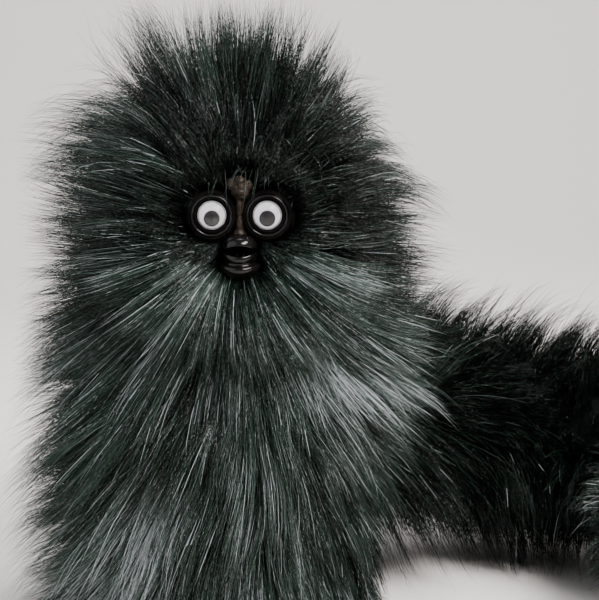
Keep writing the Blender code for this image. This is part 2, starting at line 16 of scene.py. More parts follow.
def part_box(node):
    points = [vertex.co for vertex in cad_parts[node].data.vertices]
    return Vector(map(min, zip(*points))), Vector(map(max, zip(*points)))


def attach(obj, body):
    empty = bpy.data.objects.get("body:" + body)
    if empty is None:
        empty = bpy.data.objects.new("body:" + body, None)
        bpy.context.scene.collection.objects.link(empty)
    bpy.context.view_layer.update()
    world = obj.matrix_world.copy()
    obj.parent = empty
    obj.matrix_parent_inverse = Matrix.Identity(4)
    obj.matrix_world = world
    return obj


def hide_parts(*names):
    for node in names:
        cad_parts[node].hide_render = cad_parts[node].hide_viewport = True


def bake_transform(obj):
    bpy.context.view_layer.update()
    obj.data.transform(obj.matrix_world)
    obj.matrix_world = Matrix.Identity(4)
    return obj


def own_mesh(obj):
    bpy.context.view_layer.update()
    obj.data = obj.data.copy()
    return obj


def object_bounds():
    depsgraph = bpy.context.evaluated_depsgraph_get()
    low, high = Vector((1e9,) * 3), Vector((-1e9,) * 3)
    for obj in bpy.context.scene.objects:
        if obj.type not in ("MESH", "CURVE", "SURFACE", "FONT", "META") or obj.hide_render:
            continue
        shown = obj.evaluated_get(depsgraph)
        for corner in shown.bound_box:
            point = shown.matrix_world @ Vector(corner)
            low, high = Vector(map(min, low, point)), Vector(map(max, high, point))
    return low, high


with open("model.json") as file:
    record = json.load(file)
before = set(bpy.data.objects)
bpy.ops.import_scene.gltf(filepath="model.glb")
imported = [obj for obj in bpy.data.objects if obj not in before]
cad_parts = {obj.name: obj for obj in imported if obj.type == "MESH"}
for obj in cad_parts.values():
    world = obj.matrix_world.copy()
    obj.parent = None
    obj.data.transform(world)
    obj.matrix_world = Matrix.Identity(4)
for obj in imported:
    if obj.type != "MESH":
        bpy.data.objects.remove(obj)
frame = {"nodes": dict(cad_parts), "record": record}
CAD_LOW, CAD_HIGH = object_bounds()

SEED = 20
MM = 0.001

# --- places read from the CAD ------------------------------------------------------------
lining_low, lining_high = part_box("sleeve_lining")
AXIS = Vector(((lining_low.x + lining_high.x) / 2, (lining_low.y + lining_high.y) / 2, 0))
eye_boxes = {side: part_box(f"eye_back_{side}") for side in ("left", "right")}
EYES = {side: (low + high) / 2 for side, (low, high) in eye_boxes.items()}
EYE_Z = EYES["left"].z
FACE_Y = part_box("face_plate")[0].y
FACE = Vector((AXIS.x, FACE_Y, EYE_Z - 0.005))

# --- materials ---------------------------------------------------------------------------


def principled(name, colour, roughness, metallic=0.0, **sockets):
    """A material with plain values on its shader's own sockets."""
    material = bpy.data.materials.new(name)
    material.use_nodes = True
    shader = material.node_tree.nodes["Principled BSDF"]
    shader.inputs["Base Color"].default_value = (*colour, 1.0)
    shader.inputs["Roughness"].default_value = roughness
    shader.inputs["Metallic"].default_value = metallic
    for socket, value in sockets.items():
        shader.inputs[socket.replace("_", " ")].default_value = value
    material.diffuse_color = (*colour, 1.0)
    return material


def add_noise(material, scale, detail=4.0, stretch=(1, 1, 1)):
    """A noise texture in object space, stretched along an axis when asked."""
    nodes, links = material.node_tree.nodes, material.node_tree.links
    place = nodes.new("ShaderNodeTexCoord")
    mapping = nodes.new("ShaderNodeMapping")
    mapping.inputs["Scale"].default_value = stretch
    texture = nodes.new("ShaderNodeTexNoise")
    texture.inputs["Scale"].default_value = scale
    texture.inputs["Detail"].default_value = detail
    links.new(place.outputs["Object"], mapping.inputs["Vector"])
    links.new(mapping.outputs["Vector"], texture.inputs["Vector"])
    return texture


def colour_by(material, texture, dark, light, low=0.35, high=0.65):
    nodes, links = material.node_tree.nodes, material.node_tree.links
    ramp = nodes.new("ShaderNodeValToRGB")
    ramp.color_ramp.elements[0].position = low
    ramp.color_ramp.elements[0].color = (*dark, 1)
    ramp.color_ramp.elements[1].position = high
    ramp.color_ramp.elements[1].color = (*light, 1)
    links.new(texture.outputs[0], ramp.inputs[0])
    links.new(ramp.outputs[0], nodes["Principled BSDF"].inputs["Base Color"])


def spread_to(material, texture, socket, source, target):
    """Drives a socket of the shader by the texture, from one range to another."""
    nodes, links = material.node_tree.nodes, material.node_tree.links
    spread = nodes.new("ShaderNodeMapRange")
    for end, value in zip(("From Min", "From Max", "To Min", "To Max"), source + target):
        spread.inputs[end].default_value = value
    links.new(texture.outputs[0], spread.inputs[0])
    links.new(spread.outputs[0], nodes["Principled BSDF"].inputs[socket])


def roughness_by(material, texture, low, high):
    spread_to(material, texture, "Roughness", (0.3, 0.7), (low, high))


def bump_by(material, texture, strength, distance):
    nodes, links = material.node_tree.nodes, material.node_tree.links
    bump = nodes.new("ShaderNodeBump")
    bump.inputs["Strength"].default_value = strength
    bump.inputs["Distance"].default_value = distance
    links.new(texture.outputs[0], bump.inputs["Height"])
    links.new(bump.outputs[0], nodes["Principled BSDF"].inputs["Normal"])


def make_gloss_black():
    material = principled("moulded_black", (0.002, 0.002, 0.002), 0.12,
                          Specular_IOR_Level=0.24)
    roughness_by(material, add_noise(material, 900, 6), 0.06, 0.17)
    bump_by(material, add_noise(material, 260, 2), 0.12, 0.0004)
    colour_by(material, add_noise(material, 120, 3), (0.0012, 0.0011, 0.0011),
              (0.0036, 0.0030, 0.0027))
    return material


def make_matt_black():
    material = principled("moulded_matt", (0.006, 0.006, 0.006), 0.6, Specular_IOR_Level=0.3)
    bump_by(material, add_noise(material, 2400, 3), 0.25, 0.0003)
    roughness_by(material, add_noise(material, 300, 5), 0.45, 0.7)
    colour_by(material, add_noise(material, 160, 4), (0.004, 0.004, 0.004),
              (0.012, 0.0105, 0.009))
    return material


def make_brown():
    material = principled("brown_hide", (0.03, 0.02, 0.013), 0.5, Specular_IOR_Level=0.14)
    wrinkle = add_noise(material, 420, 6)
    colour_by(material, wrinkle, (0.003, 0.0018, 0.0011), (0.0190, 0.0115, 0.0068), 0.32, 0.75)
    bump_by(material, wrinkle, 0.6, 0.0009)
    roughness_by(material, add_noise(material, 800, 4), 0.32, 0.62)
    return material


def make_white():
    material = principled("eye_card", (0.86, 0.84, 0.89), 0.45)
    colour_by(material, add_noise(material, 500, 4), (0.80, 0.77, 0.83), (0.90, 0.88, 0.93))
    return material


def make_pupil():
    material = principled("pupil_disc", (0.02, 0.02, 0.02), 0.4, Specular_IOR_Level=0.25)
    colour_by(material, add_noise(material, 420, 5), (0.003, 0.0028, 0.0032),
              (0.030, 0.026, 0.029), 0.38, 0.75)
    roughness_by(material, add_noise(material, 900, 3), 0.3, 0.55)
    return material


def make_steel():
    material = principled("brushed_steel", (0.55, 0.55, 0.56), 0.32, 1.0)
    lines = add_noise(material, 600, 4, stretch=(1, 1, 0.06))
    roughness_by(material, lines, 0.22, 0.45)
    bump_by(material, lines, 0.1, 0.0002)
    return material


def make_cloth(name, dark, light, sheen=0.3):
    """Woven cloth: two crossed sets of threads with a little colour variation."""
    material = principled(name, light, 0.9, Sheen_Weight=sheen, Specular_IOR_Level=sheen)
    nodes, links = material.node_tree.nodes, material.node_tree.links
    place = nodes.new("ShaderNodeTexCoord")
    threads = []
    for direction in ("Z", "DIAGONAL"):
        wave = nodes.new("ShaderNodeTexWave")
        wave.wave_type = "BANDS"
        wave.bands_direction = direction
        wave.inputs["Scale"].default_value = 420
        wave.inputs["Distortion"].default_value = 0.6
        links.new(place.outputs["Object"], wave.inputs["Vector"])
        threads.append(wave)
    weave = nodes.new("ShaderNodeMath")
    weave.operation = "MAXIMUM"
    links.new(threads[0].outputs["Fac"], weave.inputs[0])
    links.new(threads[1].outputs["Fac"], weave.inputs[1])
    colour_by(material, weave, dark, light, 0.2, 0.9)
    bump_by(material, weave, 0.5, 0.0005)
    return material


def make_foam():
    material = principled("carved_foam", (0.12, 0.11, 0.10), 0.9)
    cells = add_noise(material, 1500, 2)
    colour_by(material, cells, (0.07, 0.065, 0.06), (0.16, 0.15, 0.135))
    bump_by(material, cells, 0.5, 0.0008)
    return material


def make_backing():
    # The backing's own dark colour, made near-black so it also stands as painted shade in the
    # gaps between the hairs and on the face parts set in shade.
    material = principled("pile_backing", (0.0015, 0.002, 0.0018), 0.95, Specular_IOR_Level=0.05)
    knit = add_noise(material, 700, 3)
    colour_by(material, knit, (0.0008, 0.001, 0.0009), (0.003, 0.004, 0.0035))
    bump_by(material, knit, 0.5, 0.0008)
    return material


GLOSS = make_gloss_black()
MATT = make_matt_black()
BROWN = make_brown()
WHITE = make_white()
PUPIL = make_pupil()
STEEL = make_steel()
CLOTH = make_cloth("lining_weave", (0.012, 0.012, 0.013), (0.05, 0.05, 0.055))
# Painted shade: near-black cloth without sheen for the inside of the mouth, which lies in shade.
MOUTH_SHADE_CLOTH = make_cloth("mouth_shade_weave", (0.0006, 0.0006, 0.0006), (0.002, 0.0018, 0.0018),
                         sheen=0.0)
STUFFING = make_cloth("fibre_stuffing", (0.55, 0.54, 0.5), (0.78, 0.77, 0.73))
FOAM = make_foam()
BACKING_AND_SHADE = make_backing()
LENS = principled("clear_dome", (1, 1, 1), 0.04, Transmission_Weight=1.0, IOR=1.22)

# Hair colours: five tones from black to silver, each darker at its root as painted shade deep in
# the pile.
TONES = [
    (0.0008, 0.0011, 0.0009),
    (0.0036, 0.0080, 0.0054),
    (0.0140, 0.0290, 0.0200),
    (0.0560, 0.0740, 0.0670),
    (0.3300, 0.3600, 0.3700),
]
# Painted shade: the root part of each hair takes half its tone's colour; the tip is a little
# lighter.
ALONG = [("root", 0.5), ("shaft", 1.0), ("tip", 1.3)]
SPARKLE = [0.4, 0.8, 1.0, 1.0, 1.0]


def make_hair_materials():
    """Glossy fibre in each tone; how glossy it is varies along and between the hairs."""
    made = []
    for number, (tone, sparkle) in enumerate(zip(TONES, SPARKLE)):
        for part, factor in ALONG:
            colour = tuple(min(channel * factor, 1.0) for channel in tone)
            fibre = principled(f"hair_{number}_{part}", colour, 0.25)
            spread_to(fibre, add_noise(fibre, 800, 2), "Specular IOR Level", (0.48, 0.62),
                      (0.03, sparkle))
            made.append(fibre)
    return made


HAIR = make_hair_materials()

# --- mesh helpers ------------------------------------------------------------------------


SHARP = math.radians(50)  # edges that turn by more than this stay crisp


def finish_mesh(name, bm, outward=True):
    """A smooth mesh from the bmesh, which is freed."""
    if outward:
        bmesh.ops.recalc_face_normals(bm, faces=bm.faces)
    mesh = bpy.data.meshes.new(name)
    bm.to_mesh(mesh)
    bm.free()
    mesh.shade_smooth()
    return mesh


def link(name, mesh, material, body=None, replaces=()):
    obj = bpy.data.objects.new(name, mesh)
    bpy.context.scene.collection.objects.link(obj)
    if material:
        mesh.materials.append(material)
    if body:
        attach(obj, body)
    if replaces:
        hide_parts(*replaces)
    return obj


def lathe(name, profile, centre, axis, sides=72):
    """A closed turned mesh. The profile is (radius, height along the axis) points."""
    turn = Vector((0, 0, 1)).rotation_difference(Vector(axis)).to_matrix().to_4x4()
    place = Matrix.Translation(centre) @ turn
    bm = bmesh.new()
    rings = []
    for radius, height in profile:
        if radius < 1e-7:
            rings.append([bm.verts.new(place @ Vector((0, 0, height)))])
            continue
        rings.append(ring_of(bm, lambda angle: place @ Vector(
            (radius * math.cos(angle), radius * math.sin(angle), height)), sides))
    for first, second in zip(rings, rings[1:]):
        join_rings(bm, first, second)
    mesh = finish_mesh(name, bm)
    mesh.set_sharp_from_angle(angle=SHARP)
    return mesh


def ring_of(bm, place, sides):
    """One ring of verts; place gives the point at an angle."""
    return [bm.verts.new(place(2 * math.pi * number / sides)) for number in range(sides)]


def join_rings(bm, first, second):
    if len(first) == 1 and len(second) == 1:
        return
    count = max(len(first), len(second))
    for number in range(count):
        following = (number + 1) % count
        if len(first) == 1:
            bm.faces.new((first[0], second[number], second[following]))
        elif len(second) == 1:
            bm.faces.new((first[number], first[following], second[0]))
        else:
            bm.faces.new((first[number], first[following], second[following], second[number]))


def rounded(profile, steps=4, reach=0.35):
    """The profile with each corner cut to a small curve, its ends kept."""
    points = [Vector(point) for point in profile]
    made = [points[0]]
    for before, corner, after in zip(points, points[1:], points[2:]):
        start = corner.lerp(before, reach)
        end = corner.lerp(after, reach)
        for step in range(steps + 1):
            t = step / steps
            made.append(start.lerp(corner, t).lerp(corner.lerp(end, t), t))
    made.append(points[-1])
    return [tuple(point) for point in made]


# --- face --------------------------------------------------------------------------------
FORWARD = (0, -1, 0)


def in_metres(profile):
    return [(radius * MM, height * MM) for radius, height in profile]


def make_eye(side):
    name = f"_{side}"
    low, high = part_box("eye_cup" + name)
    centre = Vector(((low.x + high.x) / 2, FACE_Y, (low.z + high.z) / 2))
    radius = (high.x - low.x) / 2
    cup = [(0, 4.4), (8.1, 4.4), (8.3, 4.2), (8.3, 3.0), (9.3, 3.0), (9.6, 3.4), (9.9, 7.8),
           (10.15, 8.3), (10.5, 8.4), (10.8, 8.2), (10.9, 7.6), (10.95, 6.6), (11.1, 6.3),
           (11.5, 6.2), (11.75, 6.5), (11.95, 6.9), (12.2, 6.9), (12.4, 6.6), (12.45, 5.4),
           (12.6, 5.0), (12.9, 4.8), (13.15, 4.5), (13.25, 3.6), (13.3, 0.4), (0, 0.4)]
    rim = radius / (cup[-2][0] * MM)
    profile = [(r * MM * rim, h * MM) for r, h in cup]  # the rim as wide as the CAD's
    link("cup" + name, lathe("cup" + name, profile, centre, FORWARD, 96), GLOSS, "head",
         ["eye_cup" + name])

    back = [(0, 5.55), (6.9, 5.55), (7.3, 5.45), (7.48, 5.2), (7.48, 4.75), (0, 4.75)]
    link("white" + name, lathe("white" + name, in_metres(back), centre, FORWARD), WHITE,
         "head", ["eye_back" + name])

    dome = []
    steps = 14
    for wall, first in ((7.5, 10.2), (6.95, 9.65)):
        curve = []
        for step in range(steps + 1):
            angle = math.pi / 2 * step / steps
            curve.append((wall * math.sin(angle), 5.8 + (first - 5.8) * math.cos(angle)))
        dome += curve if wall > 7 else list(reversed(curve))
    link("dome" + name, lathe("dome" + name, in_metres(dome), centre, FORWARD), LENS,
         "head", ["eye_lens" + name])

    low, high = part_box("pupil" + name)
    middle = Vector(((low.x + high.x) / 2, FACE_Y, (low.z + high.z) / 2))
    disc = [(0, 6.95), (3.7, 6.9), (4.05, 6.75), (4.18, 6.5), (4.18, 6.2), (0, 6.05)]
    mesh = lathe("pupil_disc" + name, in_metres(disc), middle, FORWARD)
    link("pupil_disc" + name, mesh, PUPIL,
         "pupil" + name, ["pupil" + name])


MUZZLE_FLOOR = -0.16  # where the unit sphere is cut flat over the mouth
MUZZLE_ARCH = 0.0018


def make_muzzle():
    """The nose and upper lip: a glossy dome, blunt in front, arched over the mouth."""
    low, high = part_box("upper_muzzle")
    centre_x = (low.x + high.x) / 2
    half_width = (high.x - low.x) / 2
    depth = high.y - low.y
    height = high.z - low.z
    bm = bmesh.new()
    bmesh.ops.create_uvsphere(bm, u_segments=96, v_segments=64, radius=1.0)
    for vert in bm.verts:
        x, y, z = vert.co
        z = max(z, MUZZLE_FLOOR)
        level = (z - MUZZLE_FLOOR) / (1 - MUZZLE_FLOOR)
        blunt = math.copysign(abs(y) ** 0.5, y)
        arch = MUZZLE_ARCH * max(1 - (x / 0.8) ** 2, 0.0) * (1 - level) ** 3
        vert.co = (centre_x + x * half_width * 1.02, high.y + min(blunt, 0.0) * depth * 0.97,
                   low.z + arch + level * height)
    bmesh.ops.remove_doubles(bm, verts=bm.verts, dist=0.00001)
    mesh = finish_mesh("nose", bm, outward=False)
    mesh.set_sharp_from_angle(angle=math.radians(55))
    link("nose", mesh, GLOSS, "head", ["upper_muzzle"])


CHIN_DEPTH = 0.0132
LIP_HALF_WIDTH = 0.0092
SMILE = 0.0020  # how far the lip's corners bend up
LIP_LIFT = 0.0003


def make_chin():
    """Lower lip, groove and chin, turned about a post, cut off behind and bent to a smile."""
    low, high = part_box("lower_jaw")
    centre_x = (low.x + high.x) / 2
    lip_z = high.z
    rows = [(0, -5.2), (5.6, -4.6), (7.2, -2.0), (7.9, -0.3), (8.6, 0.2), (9.3, -0.5),
            (9.45, -1.7), (9.0, -3.0), (8.2, -3.9), (8.2, -4.9), (9.4, -5.4), (10.6, -5.9),
            (10.9, -7.0), (10.4, -8.6), (8.8, -10.4), (6.0, -12.1), (2.8, -13.0), (0, -13.2)]
    post = Vector((centre_x, FACE_Y - 0.004, lip_z))
    mesh = lathe("chin", in_metres(rounded(rows, 3, 0.4)), post, (0, 0, 1), 96)
    bm = bmesh.new()
    bm.from_mesh(mesh)
    tilt = math.radians(20)
    normal = Vector((0, math.cos(tilt), -math.sin(tilt)))
    corner = Vector((centre_x, FACE_Y - 0.0006, lip_z + 0.0005))
    geometry = bm.verts[:] + bm.edges[:] + bm.faces[:]
    bmesh.ops.bisect_plane(bm, geom=geometry, plane_co=corner, plane_no=normal,
                           clear_outer=True)
    open_edges = [edge for edge in bm.edges if edge.is_boundary]
    bmesh.ops.holes_fill(bm, edges=open_edges, sides=0)
    bmesh.ops.recalc_face_normals(bm, faces=bm.faces)
    for vert in bm.verts:
        drop = (lip_z - vert.co.z) / CHIN_DEPTH
        across = (vert.co.x - centre_x) / LIP_HALF_WIDTH
        vert.co.z += (SMILE * across * across + LIP_LIFT) * max(1 - drop, 0.0)
    bm.to_mesh(mesh)
    bm.free()
    mesh.shade_smooth()
    mesh.set_sharp_from_angle(angle=SHARP)
    link("chin", mesh, GLOSS, "jaw", ["lower_jaw"])


def make_brow():
    """The crumpled three-petalled nub, and the strip that widens down to the nose."""
    lumps = [((0.9, -5.2, 13.0), (4.9, 4.0, 5.0)), ((-4.2, -4.6, 16.4), (3.0, 3.0, 2.7)),
             ((0.2, -5.4, 18.0), (3.1, 3.2, 2.7)), ((4.6, -4.4, 15.4), (2.7, 2.8, 2.7)),
             ((0.0, -3.4, 4.0), (2.1, 3.4, 9.0)), ((0.0, -3.4, -5.0), (2.4, 3.6, 8.0)),
             ((0.0, -3.6, -11.0), (3.9, 4.4, 4.6))]
    bm = bmesh.new()
    for spot, half in lumps:
        made = bmesh.ops.create_icosphere(bm, subdivisions=4, radius=MM)["verts"]
        bmesh.ops.scale(bm, vec=half, verts=made)
        centre = Vector((AXIS.x, FACE_Y, EYE_Z)) + Vector(spot) * MM
        bmesh.ops.translate(bm, vec=centre, verts=made)
    mesh = fuse("brow_nub", bm, 0.0004)
    for vert in mesh.vertices:
        level = (vert.co.z - EYE_Z) / MM
        crumple = noise.fractal(vert.co * 420, 0.8, 2.0, 5)
        creased = 1.0 if level > 7 else 0.35
        vert.co += vert.normal * crumple * 0.0007 * creased
        vert.co.y = min(vert.co.y, FACE_Y - 0.0001)
    mesh.shade_smooth()
    link("brow_nub", mesh, BROWN, "head", ["brow_piece"])


def applied(obj):
    """The object's mesh with its modifiers applied; the object is removed."""
    graph = bpy.context.evaluated_depsgraph_get()
    made = bpy.data.meshes.new_from_object(obj.evaluated_get(graph), depsgraph=graph)
    bpy.data.objects.remove(obj)
    return made


def fuse(name, bm, voxel):
    """One closed skin round the shapes of a bmesh."""
    mesh = bpy.data.meshes.new(name)
    bm.to_mesh(mesh)
    bm.free()
    rough = bpy.data.objects.new(name, mesh)
    bpy.context.scene.collection.objects.link(rough)
    step = rough.modifiers.new("fuse", "REMESH")
    step.mode = "VOXEL"
    step.voxel_size = voxel
    soft = rough.modifiers.new("soften", "SMOOTH")
    soft.iterations = 4
    return applied(rough)


# --- skins under the pile ----------------------------------------------------------------
SKIN_R = 0.0585
TOP_CENTRE_Z = 0.222
SKIN_FOOT_Z = 0.004
WINDOW = (0.0272, 0.0280)  # half width and half height of the gap that the face fills
WINDOW_Z = EYE_Z - 0.0055
# the tail's centre line from the body's axis, as the CAD's tail
TAIL_LINE = np.array([
    (0.012, 0.030, 0.112), (0.062, 0.088, 0.098), (0.128, 0.122, 0.082), (0.196, 0.112, 0.076),
    (0.246, 0.062, 0.070), (0.258, -0.008, 0.064), (0.232, -0.066, 0.058),
])
TAIL_BEND_SHARES = (0.45, 0.73)


def tail_skin_radius(share):
    return np.interp(share, [0.0, 0.55, 0.8, 1.0], [0.046, 0.044, 0.040, 0.033])


def body_profile():
    """Radius and height of the body's skin, from its foot to its crown."""
    points = [(0.0560, SKIN_FOOT_Z), (0.0575, 0.05), (0.058, 0.12), (SKIN_R, 0.18)]
    for step in range(13):
        angle = math.pi / 2 * step / 12
        points.append((SKIN_R * math.cos(angle), TOP_CENTRE_Z + SKIN_R * math.sin(angle)))
    return np.array(points)


def about_axis(radius, angle, height):
    return (AXIS.x + radius * math.cos(angle), AXIS.y + radius * math.sin(angle), height)


def skin_faces(bm, rings):
    for first, second in zip(rings, rings[1:]):
        for number in range(len(first)):
            following = (number + 1) % len(first)
            bm.faces.new((first[number], first[following], second[following], second[number]))


def make_body_skin():
    """The fur's woven backing: a shell round the sleeve and the head, open for the face."""
    sides = 128
    bm = bmesh.new()
    rings = []
    for radius, height in resample(body_profile(), 130):
        rings.append(ring_of(bm, lambda angle: about_axis(radius, angle, height), sides))
    skin_faces(bm, rings)
    bmesh.ops.remove_doubles(bm, verts=bm.verts, dist=0.0001)
    window = [face for face in bm.faces if in_window(face.calc_center_median())]
    bmesh.ops.delete(bm, geom=window, context="FACES")
    round_window(bm)
    mesh = bpy.data.meshes.new("fur_backing_body")
    bm.to_mesh(mesh)
    bm.free()
    return thicken("fur_backing_body", mesh, 0.0010)


def in_window(point):
    dx = (point.x - AXIS.x) / WINDOW[0]
    dz = (point.z - WINDOW_Z) / WINDOW[1]
    return point.y < AXIS.y and dx * dx + dz * dz < 1.0


def round_window(bm):
    """Draws the cut edge of the skin onto a true ellipse."""
    for vert in bm.verts:
        if not vert.is_boundary or vert.co.z < 0.1:
            continue
        dx = (vert.co.x - AXIS.x) / WINDOW[0]
        dz = (vert.co.z - WINDOW_Z) / WINDOW[1]
        reach = math.hypot(dx, dz)
        vert.co.x = AXIS.x + dx / reach * WINDOW[0]
        vert.co.z = WINDOW_Z + dz / reach * WINDOW[1]


def thicken(name, mesh, thickness):
    """A closed skin of the mesh, grown outwards, with its thickness applied."""
    shell = bpy.data.objects.new(name, mesh)
    bpy.context.scene.collection.objects.link(shell)
    solid = shell.modifiers.new("thickness", "SOLIDIFY")
    solid.thickness = thickness
    solid.offset = 1.0
    made = applied(shell)
    made.shade_smooth()
    return made


def resample(points, count):
    steps = np.r_[0, np.cumsum(np.linalg.norm(np.diff(points, axis=0), axis=1))]
    wanted = np.linspace(0, steps[-1], count)
    return np.stack([np.interp(wanted, steps, points[:, i]) for i in range(points.shape[1])], 1)


def catmull(points, share):
    """Places on a smooth curve through the points, for an array of shares from 0 to 1."""
    spot = np.clip(share, 0, 1) * (len(points) - 1)
    index = np.minimum(spot.astype(int), len(points) - 2)
    t = (spot - index)[:, None]
    before = points[np.maximum(index - 1, 0)]
    a, b = points[index], points[index + 1]
    after = points[np.minimum(index + 2, len(points) - 1)]
    return 0.5 * (2 * a + (b - before) * t + (2 * before - 5 * a + 4 * b - after) * t ** 2
                  + (3 * a - before - 3 * b + after) * t ** 3)


def tail_frame(share):
    """Centres, level headings and level side vectors along the tail."""
    centre = catmull(TAIL_LINE, share) + np.array((AXIS.x, AXIS.y, 0))
    ahead = catmull(TAIL_LINE, np.minimum(share + 0.01, 1))
    behind = catmull(TAIL_LINE, np.maximum(share - 0.01, 0))
    heading = ahead - behind
    heading[:, 2] = 0
    heading /= np.linalg.norm(heading, axis=1)[:, None]
    side = np.stack([heading[:, 1], -heading[:, 0], np.zeros(len(share))], 1)
    return centre, heading, side


def make_tail_skin(name, start, end, closed_tip):
    steps, sides = 60, 48
    shares = np.linspace(start, end, steps)
    centre, heading, side = tail_frame(shares)
    radii = tail_skin_radius(shares)
    rows = [(centre[i], radii[i], side[i]) for i in range(steps)]
    if closed_tip:
        for angle in np.radians([20, 40, 58, 74, 86]):
            place = centre[-1] + heading[-1] * radii[-1] * math.sin(angle)
            rows.append((place, radii[-1] * math.cos(angle), side[-1]))
    bm = bmesh.new()
    rings = []
    for place, radius, across in rows:
        ring = []
        for number in range(sides):
            angle = 2 * math.pi * number / sides
            point = place + across * radius * math.cos(angle)
            ring.append(bm.verts.new((point[0], point[1], point[2] + radius * math.sin(angle))))
        rings.append(ring)
    skin_faces(bm, rings)
    if closed_tip:
        bm.faces.new(rings[-1])
    bmesh.ops.recalc_face_normals(bm, faces=bm.faces)
    mesh = bpy.data.meshes.new(name)
    bm.to_mesh(mesh)
    bm.free()
    return thicken(name, mesh, 0.001)


def make_sleeve_cloth():
    """The gathered lining and the rolled hem band round the hand's opening."""
    low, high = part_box("sleeve_lining")
    outer = (high.x - low.x) / 2
    section = [(outer - 0.0016, low.z + 0.0004), (outer - 0.0002, low.z + 0.0004)]
    rows = 24
    for step in range(1, rows):
        section.append((outer - 0.0002, low.z + (high.z - low.z) * step / rows))
    section.append((outer - 0.0004, high.z - 0.0004))
    section.append((outer - 0.0016, high.z - 0.0004))
    for step in range(rows - 1, 0, -1):
        section.append((outer - 0.0014, low.z + (high.z - low.z) * step / rows))
    mesh = turned_ring("lining", section, 144, 0.0007, 18)
    link("lining", mesh, CLOTH, "sleeve", ["sleeve_lining"])

    low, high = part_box("cuff_band")
    outer = (high.x - low.x) / 2
    inner = lining_high.x - AXIS.x + 0.0004
    top = high.z
    section = [(inner, 0.0015), (inner + 0.0010, 0.0), (outer - 0.0010, 0.0), (outer, 0.0015),
               (outer, top * 0.4), (outer - 0.0005, top * 0.5), (outer, top * 0.6),
               (outer, top - 0.0016), (outer - 0.0012, top), (inner + 0.0012, top),
               (inner, top - 0.0016), (inner, top * 0.5)]
    mesh = turned_ring("hem_band", section, 192, 0.00025, 48)
    link("hem_band", mesh, CLOTH, "sleeve", ["cuff_band"])


def turned_ring(name, section, sides, ripple, waves):
    """A closed ring of the section about the body's axis, gently rippled."""
    bm = bmesh.new()
    rings = []
    for number in range(sides):
        angle = 2 * math.pi * number / sides
        ring = []
        for radius, height in section:
            pull = ripple * (0.5 + 0.5 * math.sin(waves * angle + 60 * height))
            ring.append(bm.verts.new(about_axis(radius - pull, angle, height)))
        rings.append(ring)
    rings.append(rings[0])
    skin_faces(bm, rings)
    mesh = finish_mesh(name, bm)
    mesh.set_sharp_from_angle(angle=SHARP)
    return mesh


# --- the pile ----------------------------------------------------------------------------
GUARD_SEGMENTS = 5
UNDERCOAT_SEGMENTS = 3
FLOOR_CLEAR = 0.0008
CHIN_Z = EYE_Z - 0.033
PILE_LENGTH = 0.064
UNDERCOAT_R = (0.00010, 0.00014)
GUARD_R = (0.00011, 0.00018)
STRAY_SHARE = 0.2
CURL = 0.42
# share of hairs on which one segment is painted two tones brighter, as a glint
PAINTED_GLINT_SHARE = 0.10
NO_PART = 9  # a part number that no short hair has, so that it never glints
HAIRS_PER_PIECE = 7000  # keeps each piece under 200,000 triangles
STAND_PROUD = (0.0205, 0.0170, 0.0175)  # how far hair tips may stand out of the model's box
# silver bands of the breast, partly the hair's own silver and partly painted sheen: angle from
# straight down, width, strength, where they start
BANDS = [(-58, 12, 1.6, 0.00), (-40, 5, 0.9, 0.02), (-14, 7, 1.7, 0.10), (-24, 4, 1.0, 0.13),
         (6, 8, 0.7, 0.00), (24, 7, 0.9, 0.03), (38, 6, 1.4, 0.00), (52, 9, 1.5, 0.00)]


def unit(vectors):
    return vectors / np.maximum(np.linalg.norm(vectors, axis=-1, keepdims=True), 1e-9)


def smoothstep(value, low, high):
    t = np.clip((value - low) / (high - low), 0, 1)
    return t * t * (3 - 2 * t)


def wander(points, scale, seed):
    """A smooth field between about -1 and 1, from a few waves in random directions."""
    random = np.random.default_rng(seed)
    total = np.zeros(len(points))
    for _ in range(6):
        wave = random.normal(size=3)
        total += np.sin(points @ wave / scale + random.uniform(0, 6.28))
    return total / 3.0


def body_roots(count, random):
    """Places and normals spread evenly by area over the body's skin."""
    profile = resample(body_profile(), 400)
    middle = (profile[1:] + profile[:-1]) / 2
    run = np.diff(profile, axis=0)
    area = middle[:, 0] * np.linalg.norm(run, axis=1)
    row = random.choice(len(area), size=count, p=area / area.sum())
    spot = profile[row] + run[row] * random.random(count)[:, None]
    angle = random.uniform(0, 2 * math.pi, count)
    out = np.stack([np.cos(angle), np.sin(angle), np.zeros(count)], 1)
    place = out * spot[:, :1]
    place[:, 2] = spot[:, 1]
    slope = unit(run[row])
    normal = out * slope[:, 1:2]
    normal[:, 2] = -slope[:, 0]
    return place + np.array((AXIS.x, AXIS.y, 0)), unit(normal)


def face_distance(place):
    """How far a root is from the middle of the face, level and upright."""
    dx = place[:, 0] - AXIS.x
    dz = place[:, 2] - WINDOW_Z
    return np.where(place[:, 1] < AXIS.y, np.hypot(dx, dz), 0.2)


def breast(place, normal):
    """1 on the front under the chin, 0 at the sides, the back and the top."""
    front = np.clip(-normal[:, 1] + 0.15, 0, 1)
    return front * smoothstep(CHIN_Z + 0.012 - place[:, 2], 0.0, 0.03)


